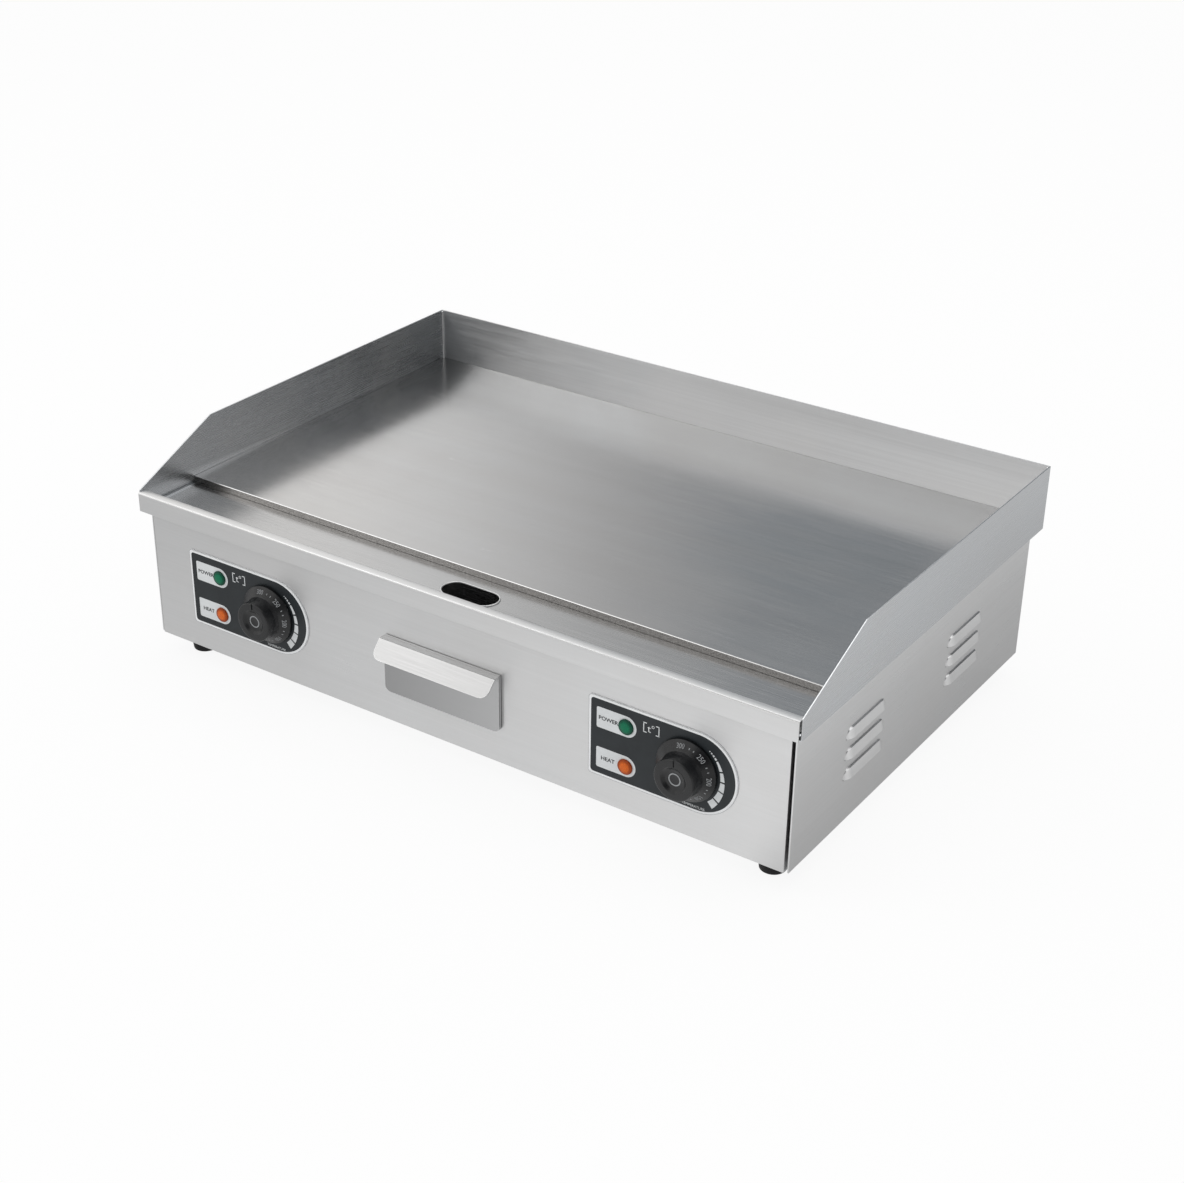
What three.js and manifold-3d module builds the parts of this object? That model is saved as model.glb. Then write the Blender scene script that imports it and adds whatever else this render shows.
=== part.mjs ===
// Two-zone countertop griddle: a thick steel cooking plate in a bent-sheet pan, which stands on a
// recessed cabinet with a grease drawer, two thermostat knobs, four pilot lamps and four feet.
// Millimetres, +Z up, X to the right, the front faces -Y.

import * as THREE from "three";
import { mergeVertices } from "three/addons/utils/BufferGeometryUtils.js";
import Module from "manifold-3d";

const wasm = await Module();
wasm.setup();

// Clearances and sheet metal
const seam = 0.3; // between pieces that lie on each other
const runGap = 0.4; // round a piece that turns
const overrun = 1; // how far a cutter runs past the face that it cuts
const sheet = 1.2;
const bendRadius = 0.6; // inside a bend

// Pan
const panWidth = 730;
const panDepth = 477;
const troughDepth = 75.5; // from the lip's face to the plate's front edge
const plateThickness = 8;
const plateEdge = 0.6; // chamfer of the plate's upper front edge
const skirtHeight = 19.6;
const lipDepth = 10;
const troughEndGap = 5; // from the end of the trough floor to the side guard
const splashRise = 46; // of the guards above the lip
const guardSetback = 3; // from the lip's face to a side guard's front edge
const splashKink = 104.7; // from the lip's face to where a side guard is at full height
const seatWidth = 26; // flange of the guards, under the plate
const slotLength = 59;
const slotWidth = 27;
const slotOffset = 3.7; // from the middle of the griddle to the middle of the drip slot
const slotCollar = 5; // height of the rim turned down round the slot
const slotSetback = 45; // from the lip's face to the middle of the drip slot
const chuteWall = 1;

// Cabinet
const cabinetHeight = 133.3;
const frontRecess = 7.9; // from the lip's face to the front panel
const sideRecess = 8.3;
const rearRecess = 12;
const panelGap = 1.2; // between the front panel and a side panel
const sidePanelSetback = 2; // from the front panel's face to a side panel's front edge
const returnWidth = 18; // inward flange along the top of a panel
const baseRim = 12; // upturned edge of the base plate

// Side louvres
const louvreLength = 68;
const louvreHeight = 9;
const louvreDepth = 4;
const louvreCorner = 7; // of the hood's upper corners
const louvrePitch = 20.3;
const louvreCount = 3;
const louvreTop = 94; // upper edge of the top louvre, above the cabinet's bottom edge
const louvreSetback = 133; // from the lip's face to the middle of the front group
const louvreRearSetback = 137.6; // from the cabinet's rear to the middle of the rear group

// Feet and their screws
const footHeight = 22;
const footRadius = 12;
const footTopRadius = 15;
const footInset = 36.5; // from the pan's side to the foot's axis
const footSetback = 38; // from the lip's face to the front feet
const footRecess = 10;
const footRecessRadius = 6.5;
const footScrewRadius = 2.5;
const footScrewHeadRadius = 5;
const footScrewHeadHeight = 3.5;
const footNutRadius = 6;
const footNutHeight = 5;

// Control labels, lamps, knobs and thermostats
const labelLength = 149.2;
const labelHeight = 79;
const labelThickness = 0.8;
const labelCornerRadius = 4;
const labelInset = 131.6; // from the pan's side to the middle of a label
const labelLevel = 67; // middle of a label, above the cabinet's bottom edge
const lampOffset = -35.9; // from the middle of a label
const lampSpacing = 39.7;
const lampDrop = 0.6; // of the two lamps' middle, below the middle of a label
const lensRadius = 7.4;
const lensHeight = 2.6;
const lensEdge = 1.2;
const lensStemRadius = 4;
const lensStemLength = 7;
const lampBarrelRadius = 5.6;
const lampBarrelLength = 28;
const knobOffset = 25.6; // from the middle of a label
const knobLift = 0.5; // from the label to the back of the dial
const dialRadius = 29.4;
const dialRim = 3;
const gripBaseRadius = 20.8;
const gripBaseHeight = 8.5;
const gripFaceRadius = 19.5;
const knobHeight = 22;
const knobEdge = 1.2;
const knobRecessRadius = 11.8;
const knobRecess = 0.8;
const knobGrooveWidth = 1.6;
const knobGrooveDepth = 0.6;
const shaftRadius = 3;
const shaftFlat = 1; // taken off one side of the round shaft
const shaftGrip = 13; // length of the shaft inside the knob
const shaftHold = 14; // length of the shaft inside the thermostat
const thermostatWidth = 42;
const thermostatDepth = 28;
const bushRadius = 6;

// Heating under each zone
const elementRadius = 4;
const elementLegs = 4;
const elementInset = 62.5; // from the zone's edge to the outer leg
const elementFrontInset = 50; // from the plate's front edge to the first turns
const elementRearInset = 45;
const terminalInset = 30; // from the plate's front edge to the turned-down ends
const terminalDrop = 32;
const terminalBend = 10;
const insulationThickness = 12;
const insulationInset = 32.5; // from the zone's edge
const insulationFrontInset = 46; // from the plate's front edge
const insulationRearInset = 35;
const shieldThickness = 1.2;
const studRadius = 3;
const studTail = 3; // of a stud past its nut
const studFrontInset = 115; // from the plate's front edge
const studRearInset = 145;
const nutFlats = 10;
const nutHeight = 5;
const bulbRadius = 3;
const bulbInset = 66; // from the plate's front edge
const bulbLength = 95;
const capillaryRadius = 1;
const capillaryInset = 18; // from the plate's front edge
const capillaryRise = 12; // of the level run above the thermostat
const capillaryBend = 6;

// Drawer
const drawerLevel = 33.3; // lower edge of its front plate, above the cabinet's bottom edge
const frontPlateWidth = 130;
const frontPlateHeight = 57.8;
const frontPlateProud = 3.8;
const frontPlateCorner = 5;
const handleSheet = 1.2;
const handleBend = 1.2;
const handleReach = 5; // of the level flange
const gripReach = 12.6; // of the turned-down lip
const gripDrop = 14;
const gripTaper = 4; // each side
const gripCorner = 8;
const openingMargin = 6; // by which the front plate covers the cabinet's opening
const drawerPlay = 1.5; // round the tray in the opening
const drawerDepth = 250;
const railThickness = 1.5;
const railLedge = 10;
const railGuide = 16; // height of the side guide above the ledge
const railFoot = 14;
const railEnd = 6; // from the front panel to a rail, and from a rail's end to the tray's end

// Wiring, inside the cabinet and in the rear panel
const glandInset = 115; // from the pan's side
const glandLevel = 40; // above the cabinet's bottom edge
const glandBoreRadius = 5.5;
const glandThreadRadius = 8;
const glandThreadLength = 12;
const glandFlangeRadius = 12;
const glandFlangeLength = 5;
const glandDomeRadius = 10;
const glandDomeLength = 16;
const glandNutFlats = 24;
const glandNutHeight = 5;
const blockLength = 62;
const blockDepth = 24;
const blockHeight = 22;
const blockWays = 3;
const blockWellRadius = 4;
const blockWellDepth = 9;
const blockSetback = 70; // from the rear panel to the middle of the terminal block
const earthRadius = 2.5;
const earthHeight = 20;
const earthCollarRadius = 5;
const earthCollarHeight = 5;
const harnessRadius = 3;
const harnessSpacing = 16; // between the two runs behind the drawer
const harnessBend = 12;

// Facets
const wideSteps = 36;
const middleSteps = 20;
const smallSteps = 12;
const tubeSides = 8;
const thinTubeSides = 6;
const bendSteps = 3;
const cornerSteps = 4;
const roundEndSteps = 8;

// Levels, from the ground up
const cabinetBottom = footHeight;
const cabinetTop = cabinetBottom + cabinetHeight;
const skirtBottom = cabinetTop + seam;
const seatTop = skirtBottom + sheet;
const plateBottom = seatTop + seam;
const plateTop = plateBottom + plateThickness;
const floorTop = plateBottom + sheet;
const lipTop = skirtBottom + skirtHeight;
const splashTop = lipTop + splashRise;
const baseTop = cabinetBottom + sheet;
const labelMiddle = cabinetBottom + labelLevel;
const elementLevel = plateBottom - seam - elementRadius;
const insulationTop = elementLevel - elementRadius - seam;
const shieldTop = insulationTop - insulationThickness - seam;
const nutTop = shieldTop - shieldThickness - seam;
const studBottom = nutTop - nutHeight - studTail;
const frontPlateBottom = cabinetBottom + drawerLevel;
const frontPlateTop = frontPlateBottom + frontPlateHeight;
const openingBottom = frontPlateBottom + openingMargin;
const openingTop = frontPlateTop - openingMargin;
const trayBottom = openingBottom + drawerPlay;
const trayTop = openingTop - drawerPlay;

// Planes, from the lip's front face back and from the middle outwards
const guardInner = panWidth / 2 - sheet;
const rearGuardInner = panDepth - sheet;
const plateRear = rearGuardInner - seam;
const plateFront = troughDepth;
const cabinetSide = panWidth / 2 - sideRecess;
const cabinetRear = panDepth - rearRecess;
const panelBack = frontRecess + sheet;
const frontPanelEnd = cabinetSide - sheet - panelGap;
const labelFace = frontRecess - seam - labelThickness;
const knobBack = labelFace - knobLift;
const thermostatFront = panelBack + seam;
const handleFace = frontRecess - frontPlateProud;
const trayFront = handleFace + handleSheet + seam;
const openingSide = frontPlateWidth / 2 - openingMargin;
const traySide = openingSide - drawerPlay;
const trayRear = trayFront + drawerDepth;
const zoneMiddle = panWidth / 4;
const elementPitch = (2 * (zoneMiddle - elementInset)) / (elementLegs - 1);
const labelOffset = panWidth / 2 - labelInset;
const glandOffset = panWidth / 2 - glandInset;

const sides = [["left", -1], ["right", 1]];
const xAxis = new THREE.Vector3(1, 0, 0);
const yAxis = new THREE.Vector3(0, 1, 0);
const zAxis = new THREE.Vector3(0, 0, 1);
const griddle = new THREE.Group();

const finishes = {
  satinSteel: { color: 0xc9cbcb, roughness: 0.38, metalness: 0.9 },
  darkSteel: { color: 0x8f9291, roughness: 0.45, metalness: 0.9 },
  zincSteel: { color: 0xb4b6b8, roughness: 0.4, metalness: 0.85 },
  blackPlastic: { color: 0x15171a, roughness: 0.42, metalness: 0 },
  labelFilm: { color: 0x25282c, roughness: 0.35, metalness: 0.1 },
  rubber: { color: 0x0d0d0e, roughness: 0.75, metalness: 0 },
  greenLens: { color: 0x2f9a58, roughness: 0.18, metalness: 0 },
  orangeLens: { color: 0xc75a24, roughness: 0.18, metalness: 0 },
  whitePlastic: { color: 0xdedcd4, roughness: 0.5, metalness: 0 },
  ceramicWool: { color: 0xe8e4d8, roughness: 0.95, metalness: 0 },
  sheath: { color: 0x5d5850, roughness: 0.55, metalness: 0.6 },
  copper: { color: 0xb8734a, roughness: 0.35, metalness: 0.9 },
  brass: { color: 0xc9a54f, roughness: 0.35, metalness: 0.9 },
  cableJacket: { color: 0x2b2b2e, roughness: 0.6, metalness: 0 },
};

// Geometry helpers

// A closed geometry becomes a solid once its shared corners are one, without the faces that this folds flat.
function toSolid(geometry) {
  geometry.deleteAttribute("normal");
  geometry.deleteAttribute("uv");
  const merged = mergeVertices(geometry);
  const faces = [];
  for (let at = 0; at < merged.index.count; at += 3) {
    const face = [merged.index.getX(at), merged.index.getX(at + 1), merged.index.getX(at + 2)];
    if (new Set(face).size === 3) faces.push(...face);
  }
  const vertProperties = merged.attributes.position.array;
  return new wasm.Manifold(new wasm.Mesh({ numProp: 3, vertProperties, triVerts: new Uint32Array(faces) }));
}

function addPiece(name, solid, finish) {
  const { vertProperties, triVerts } = solid.getMesh();
  const geometry = new THREE.BufferGeometry();
  geometry.setAttribute("position", new THREE.BufferAttribute(vertProperties, 3));
  geometry.setIndex(new THREE.BufferAttribute(triVerts, 1));
  geometry.computeVertexNormals();
  const mesh = new THREE.Mesh(geometry, new THREE.MeshStandardMaterial(finishes[finish]));
  mesh.name = name;
  griddle.add(mesh);
}

function block(low, high) {
  const size = high.map((value, axis) => value - low[axis]);
  const middle = high.map((value, axis) => (value + low[axis]) / 2);
  return toSolid(new THREE.BoxGeometry(...size).translate(...middle));
}

// Prisms from an outline: along X it is drawn in (y, z), along Y in (x, z) and along Z in (x, y).
function prismX(outline, from, to) {
  const geometry = extrude(outline, to - from);
  geometry.applyMatrix4(new THREE.Matrix4().makeBasis(yAxis, zAxis, xAxis));
  return toSolid(geometry.translate(from, 0, 0));
}

function prismY(outline, from, to) {
  const geometry = extrude(outline, to - from);
  geometry.applyMatrix4(new THREE.Matrix4().makeBasis(xAxis, zAxis, yAxis.clone().negate()));
  return toSolid(geometry.translate(0, to, 0));
}

function prismZ(outline, from, to) {
  return toSolid(extrude(outline, to - from).translate(0, 0, from));
}

function extrude(outline, depth) {
  const shape = new THREE.Shape(outline.map(([u, v]) => new THREE.Vector2(u, v)));
  return new THREE.ExtrudeGeometry(shape, { depth, bevelEnabled: false });
}

// A round piece from a profile of [radius, height] that runs up its outer side.
// It stands on Z, or points to the front or to the rear along Y.
const stands = {
  up: Math.PI / 2,
  front: Math.PI,
  rear: 0,
};

function turned(profile, steps, stand, [x, y, z]) {
  const points = profile.map(([radius, height]) => new THREE.Vector2(radius, height));
  const geometry = new THREE.LatheGeometry(points, steps);
  return toSolid(geometry.rotateX(stands[stand]).translate(x, y, z));
}

function rod(radius, length, steps, stand, place) {
  return turned([[0, 0], [radius, 0], [radius, length], [0, length]], steps, stand, place);
}

function hexagon(flats, length, stand, place) {
  return rod(flats / 2 / Math.cos(Math.PI / 6), length, 6, stand, place);
}

// The arc of a rounded corner: from its tangent point on one side to that on the other,
// middle + out * cos(a) + along * sin(a), where a runs over the turn of the path.
function cornerArc(before, corner, after, radius, steps) {
  const back = before.clone().sub(corner).normalize();
  const ahead = after.clone().sub(corner).normalize();
  const half = back.angleTo(ahead) / 2;
  const bisector = back.clone().add(ahead).normalize();
  const middle = corner.clone().addScaledVector(bisector, radius / Math.sin(half));
  const out = corner.clone().addScaledVector(back, radius / Math.tan(half)).sub(middle);
  const along = back.clone().multiplyScalar(-radius);
  const turn = Math.PI - 2 * half;
  const points = [];
  for (let step = 0; step <= steps; step += 1) {
    const angle = (turn * step) / steps;
    points.push(middle.clone().addScaledVector(out, Math.cos(angle)).addScaledVector(along, Math.sin(angle)));
  }
  return { points, middle };
}

function withoutRepeats(points) {
  return points.filter((point, at) => at === 0 || point.distanceTo(points[at - 1]) > seam / 100);
}

// A closed outline from corners of [u, v, radius, steps].
function roundedOutline(corners) {
  const places = corners.map(([u, v]) => new THREE.Vector2(u, v));
  const points = corners.flatMap(([, , radius, steps], at) => {
    const before = places.at(at - 1);
    const after = places[(at + 1) % places.length];
    return radius > 0 ? cornerArc(before, places[at], after, radius, steps).points : [places[at]];
  });
  return withoutRepeats(points).map((point) => [point.x, point.y]);
}

// The drip slot's outline with round ends, grown by a margin all round.
function slotOutline(margin) {
  const halfLength = slotLength / 2 + margin;
  const radius = slotWidth / 2 + margin;
  return roundedOutline([
    [slotOffset - halfLength, slotSetback - radius, radius, roundEndSteps],
    [slotOffset + halfLength, slotSetback - radius, radius, roundEndSteps],
    [slotOffset + halfLength, slotSetback + radius, radius, roundEndSteps],
    [slotOffset - halfLength, slotSetback + radius, radius, roundEndSteps],
  ]).slice(0, -1);
}

// The section of a bent sheet: corners run along one face, and the sheet lies to the left of them,
// or to the right where its thickness is negative.
function sheetOutline(corners, thickness, radius) {
  const places = corners.map(([u, v]) => new THREE.Vector2(u, v));
  const face = [];
  const back = [];
  const addEnd = (place, from, to) => {
    const along = to.clone().sub(from).normalize();
    face.push(place);
    back.push(place.clone().add(new THREE.Vector2(-along.y, along.x).multiplyScalar(thickness)));
  };
  addEnd(places[0], places[0], places[1]);
  for (let at = 1; at < places.length - 1; at += 1) {
    const [before, corner, after] = places.slice(at - 1, at + 2);
    const turnsLeft = corner.clone().sub(before).cross(after.clone().sub(corner)) > 0;
    const faceIsOutside = turnsLeft === thickness > 0;
    const outerRadius = radius + Math.abs(thickness);
    const faceRadius = faceIsOutside ? outerRadius : radius;
    const backRadius = faceIsOutside ? radius : outerRadius;
    const { points, middle } = cornerArc(before, corner, after, faceRadius, bendSteps);
    face.push(...points);
    back.push(...points.map((point) => point.clone().sub(middle).multiplyScalar(backRadius / faceRadius).add(middle)));
  }
  addEnd(places.at(-1), places.at(-2), places.at(-1));
  return [...face, ...back.reverse()].map((point) => [point.x, point.y]);
}

// A polyline whose knots are evenly spaced in its parameter, so that a swept tube has a ring at each knot.
class KnotPath extends THREE.Curve {
  constructor(knots) {
    super();
    this.knots = knots;
  }

  getPoint(share, target = new THREE.Vector3()) {
    const place = share * (this.knots.length - 1);
    const knot = Math.min(Math.floor(place), this.knots.length - 2);
    return target.lerpVectors(this.knots[knot], this.knots[knot + 1], place - knot);
  }

  getPointAt(share, target) {
    return this.getPoint(share, target);
  }

  getTangentAt(share, target) {
    return this.getTangent(share, target);
  }
}

// A tube through corners of [x, y, z, radius of the bend there].
function tube(corners, radius, sideCount) {
  const places = corners.map(([x, y, z]) => new THREE.Vector3(x, y, z));
  const knots = corners.flatMap(([, , , bend], at) => {
    const turns = at > 0 && at < corners.length - 1;
    return turns ? cornerArc(places[at - 1], places[at], places[at + 1], bend, cornerSteps).points : [places[at]];
  });
  const path = new KnotPath(withoutRepeats(knots));
  const section = [];
  for (let side = 0; side < sideCount; side += 1) {
    const angle = (2 * Math.PI * side) / sideCount;
    section.push(new THREE.Vector2(radius * Math.cos(angle), radius * Math.sin(angle)));
  }
  const options = { steps: path.knots.length - 1, extrudePath: path, bevelEnabled: false };
  return toSolid(new THREE.ExtrudeGeometry(new THREE.Shape(section), options));
}

// Cooking plate, with the welded studs that hold the heating parts up against it
function studPlaces(sign) {
  const middle = sign * zoneMiddle;
  return [
    [middle, plateFront + studFrontInset],
    [middle - elementPitch, plateRear - studRearInset],
    [middle + elementPitch, plateRear - studRearInset],
  ];
}

function addPlate() {
  const halfWidth = guardInner - seam;
  const profile = [
    [plateFront, plateBottom],
    [plateRear, plateBottom],
    [plateRear, plateTop],
    [plateFront + plateEdge, plateTop],
    [plateFront, plateTop - plateEdge],
  ];
  let plate = prismX(profile, -halfWidth, halfWidth);
  for (const [, sign] of sides) {
    for (const [x, y] of studPlaces(sign)) {
      const length = plateBottom + overrun - studBottom;
      plate = plate.add(rod(studRadius, length, smallSteps, "up", [x, y, studBottom]));
    }
  }
  addPiece("griddle_plate", plate, "satinSteel");
}

// Pan sheets: lip and trough in front, splash guards with seat flanges at the sides and the rear
function addTrough() {
  const halfWidth = guardInner - seam;
  const profile = sheetOutline([
    [0, skirtBottom],
    [0, lipTop],
    [lipDepth, lipTop],
    [lipDepth, floorTop],
    [plateFront - seam, floorTop],
  ], -sheet, bendRadius);
  let trough = prismX(profile, -halfWidth, halfWidth);
  const floorEnd = guardInner - troughEndGap;
  const reach = panWidth / 2 + overrun;
  for (const [, sign] of sides) {
    const floorLow = Math.min(sign * floorEnd, sign * reach);
    const floorHigh = Math.max(sign * floorEnd, sign * reach);
    const floorFrom = plateBottom - overrun;
    const floorTo = floorTop + bendRadius;
    const floorStart = lipDepth - sheet - overrun;
    trough = trough.subtract(block([floorLow, floorStart, floorFrom], [floorHigh, plateFront, floorTo]));
  }
  const collarBottom = plateBottom - slotCollar;
  trough = trough.add(prismZ(slotOutline(sheet), collarBottom, floorTop - sheet / 2));
  trough = trough.subtract(prismZ(slotOutline(0), collarBottom - overrun, floorTop + overrun));
  addPiece("trough", trough, "satinSteel");
}

function addDripChute() {
  const chuteTop = plateBottom - seam;
  const chuteBottom = trayTop + drawerPlay;
  const boreMargin = sheet + seam;
  const bore = prismZ(slotOutline(boreMargin), chuteBottom - overrun, chuteTop + overrun);
  const chute = prismZ(slotOutline(boreMargin + chuteWall), chuteBottom, chuteTop);
  addPiece("drip_chute", chute.subtract(bore), "satinSteel");
}

function addSplashGuards() {
  const outline = [
    [guardSetback, skirtBottom],
    [panDepth, skirtBottom],
    [panDepth, splashTop],
    [splashKink, splashTop],
    [guardSetback, lipTop + (splashRise * guardSetback) / splashKink],
  ];
  const seatInner = guardInner - seatWidth;
  const seatEnd = rearGuardInner - seam;
  for (const [side, sign] of sides) {
    const [low, high] = sign < 0 ? [-panWidth / 2, -guardInner] : [guardInner, panWidth / 2];
    const [seatLow, seatHigh] = sign < 0 ? [-guardInner - sheet, -seatInner] : [seatInner, guardInner + sheet];
    const seat = block([seatLow, guardSetback, skirtBottom], [seatHigh, seatEnd, seatTop]);
    addPiece(`${side}_splash_guard`, prismX(outline, low, high).add(seat), "satinSteel");
  }
  const rearSeat = sheetOutline([
    [panDepth, splashTop],
    [panDepth, skirtBottom],
    [rearGuardInner - seatWidth, skirtBottom],
  ], -sheet, bendRadius);
  const halfWidth = guardInner - seam;
  let rear = prismX(rearSeat, -halfWidth, halfWidth);
  const corner = seatInner - seam;
  for (const [, sign] of sides) {
    const [low, high] = sign < 0 ? [-panWidth, -corner] : [corner, panWidth];
    rear = rear.subtract(block([low, 0, skirtBottom - overrun], [high, rearGuardInner, seatTop + bendRadius]));
  }
  addPiece("rear_splash_guard", rear, "satinSteel");
}

// Cabinet panels
function addFrontPanel() {
  const depth = frontRecess + returnWidth;
  const end = frontPanelEnd;
  let panel = block([-end, frontRecess, cabinetBottom], [end, depth, cabinetTop]);
  const hollowEnd = [end - sheet, depth + overrun, cabinetTop - sheet];
  panel = panel.subtract(block([-hollowEnd[0], panelBack, cabinetBottom - overrun], hollowEnd));
  const rimClear = cabinetBottom + baseRim + seam;
  const skirtCut = [end + overrun, depth + overrun, rimClear];
  panel = panel.subtract(block([-skirtCut[0], panelBack, cabinetBottom - overrun], skirtCut));
  const cutFront = frontRecess - overrun;
  const cutLength = sheet + 2 * overrun;
  const opening = block([-openingSide, cutFront, openingBottom], [openingSide, cutFront + cutLength, openingTop]);
  panel = panel.subtract(opening);
  for (const [, sign] of sides) {
    const middle = sign * labelOffset;
    const shaftHole = [middle + knobOffset, cutFront, labelMiddle];
    panel = panel.subtract(rod(bushRadius + seam, cutLength, middleSteps, "rear", shaftHole));
    for (const [, level] of lampLevels()) {
      const lampHole = [middle + lampOffset, cutFront, level];
      panel = panel.subtract(rod(lampBarrelRadius + seam, cutLength, middleSteps, "rear", lampHole));
    }
  }
  addPiece("front_panel", panel, "satinSteel");
}

// One louvre's hood and the space under it, as outlines in (distance out of the panel, z).
// Both follow the quarter of an ellipse, depth * cos(a) and height * sin(a).
function louvreOutlines(bottom) {
  const quarter = (depth, height) => {
    const points = [];
    for (let step = 0; step <= cornerSteps; step += 1) {
      const angle = (Math.PI / 2) * (1 - step / cornerSteps);
      points.push([depth * Math.cos(angle), bottom + height * Math.sin(angle)]);
    }
    return points;
  };
  const hood = [[-sheet, bottom], [-sheet, bottom + louvreHeight], ...quarter(louvreDepth, louvreHeight)];
  const innerDepth = louvreDepth - sheet;
  const innerHeight = louvreHeight - sheet;
  const space = [
    [-sheet - overrun, bottom],
    [-sheet - overrun, bottom + innerHeight],
    ...quarter(innerDepth, innerHeight),
    [innerDepth, bottom - overrun],
    [0, bottom - overrun],
    [0, bottom],
  ];
  return { hood, space };
}

function addSidePanels() {
  const flangeInner = cabinetSide - returnWidth;
  for (const [side, sign] of sides) {
    const mirror = (solid) => (sign < 0 ? solid.mirror([1, 0, 0]) : solid);
    const front = frontRecess + sidePanelSetback;
    let panel = block([cabinetSide - sheet, front, cabinetBottom], [cabinetSide, cabinetRear, cabinetTop]);
    const flangeFront = frontRecess + returnWidth + seam;
    const flangeRear = cabinetRear - returnWidth - seam;
    const flangeLow = [flangeInner, flangeFront, cabinetTop - sheet];
    panel = panel.add(block(flangeLow, [cabinetSide - sheet / 2, flangeRear, cabinetTop]));
    for (const middle of [louvreSetback, cabinetRear - louvreRearSetback]) {
      for (let row = 0; row < louvreCount; row += 1) {
        const bottom = cabinetBottom + louvreTop - louvreHeight - row * louvrePitch;
        const { hood, space } = louvreOutlines(bottom);
        panel = panel.add(louvreRun(hood, middle, bottom, 0));
        panel = panel.subtract(louvreRun(space, middle, bottom, sheet));
      }
    }
    addPiece(`${side}_side_panel`, mirror(panel), "satinSteel");
  }
}

// A louvre's section along its length, with its upper corners rounded and its walls moved in by an inset.
function louvreRun(outline, middle, bottom, inset) {
  const half = louvreLength / 2 - inset;
  const top = bottom + louvreHeight - inset;
  const corner = louvreCorner - inset;
  const face = roundedOutline([
    [middle - half, bottom - 2 * overrun, 0, 0],
    [middle + half, bottom - 2 * overrun, 0, 0],
    [middle + half, top, corner, cornerSteps],
    [middle - half, top, corner, cornerSteps],
  ]);
  const section = outline.map(([out, z]) => [cabinetSide + out, z]);
  const run = prismY(section, middle - louvreLength, middle + louvreLength);
  return run.intersect(prismX(face, cabinetSide - sheet - 2 * overrun, cabinetSide + louvreDepth + overrun));
}

function addRearPanel() {
  const halfWidth = cabinetSide - sheet - seam;
  const profile = sheetOutline([
    [cabinetRear, cabinetBottom],
    [cabinetRear, cabinetTop],
    [cabinetRear - returnWidth, cabinetTop],
  ], sheet, bendRadius);
  const hole = rod(glandThreadRadius + seam, sheet + 2 * overrun, middleSteps, "rear",
    [glandOffset, cabinetRear - sheet - overrun, cabinetBottom + glandLevel]);
  addPiece("rear_panel", prismX(profile, -halfWidth, halfWidth).subtract(hole), "satinSteel");
}

// Base plate with its upturned rim and the nuts pressed into it for the feet
function footPlaces() {
  const rearSetback = cabinetRear - (footSetback - frontRecess);
  const x = panWidth / 2 - footInset;
  return [
    ["front_left", -x, footSetback],
    ["front_right", x, footSetback],
    ["rear_left", -x, rearSetback],
    ["rear_right", x, rearSetback],
  ];
}

function addBase() {
  const halfWidth = frontPanelEnd;
  const front = panelBack + seam;
  const rear = cabinetRear - sheet - seam;
  const rimTop = cabinetBottom + baseRim;
  const inner = [halfWidth - sheet, rear - sheet, rimTop + overrun];
  let base = block([-halfWidth, front, cabinetBottom], [halfWidth, rear, rimTop]);
  base = base.subtract(block([-inner[0], front + sheet, baseTop], inner));
  for (const [, x, y] of footPlaces()) {
    const nutBottom = baseTop - sheet / 2;
    base = base.add(rod(footNutRadius, footNutHeight, smallSteps, "up", [x, y, nutBottom]));
    const holeLength = footNutHeight + sheet + 2 * overrun;
    const hole = rod(footScrewRadius + seam, holeLength, smallSteps, "up", [x, y, cabinetBottom - overrun]);
    base = base.subtract(hole);
  }
  addPiece("base_plate", base, "zincSteel");
}

function addFeet() {
  const top = footHeight - seam;
  const holeRadius = footScrewRadius + seam;
  const footProfile = [
    [footRecessRadius, 0],
    [footRadius, 0],
    [footTopRadius, top],
    [holeRadius, top],
    [holeRadius, footRecess],
    [footRecessRadius, footRecess],
    [footRecessRadius, 0],
  ];
  const headTop = footRecess - seam;
  const screwTop = baseTop + footNutHeight;
  const screwProfile = [
    [0, headTop - footScrewHeadHeight],
    [footScrewHeadRadius, headTop - footScrewHeadHeight],
    [footScrewHeadRadius, headTop],
    [footScrewRadius, headTop],
    [footScrewRadius, screwTop],
    [0, screwTop],
  ];
  for (const [corner, x, y] of footPlaces()) {
    addPiece(`${corner}_foot`, turned(footProfile, middleSteps, "up", [x, y, 0]), "rubber");
    addPiece(`${corner}_foot_screw`, turned(screwProfile, smallSteps, "up", [x, y, 0]), "zincSteel");
  }
}

// Controls
function lampLevels() {
  return [
    ["power", labelMiddle - lampDrop + lampSpacing / 2],
    ["heat", labelMiddle - lampDrop - lampSpacing / 2],
  ];
}

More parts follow.
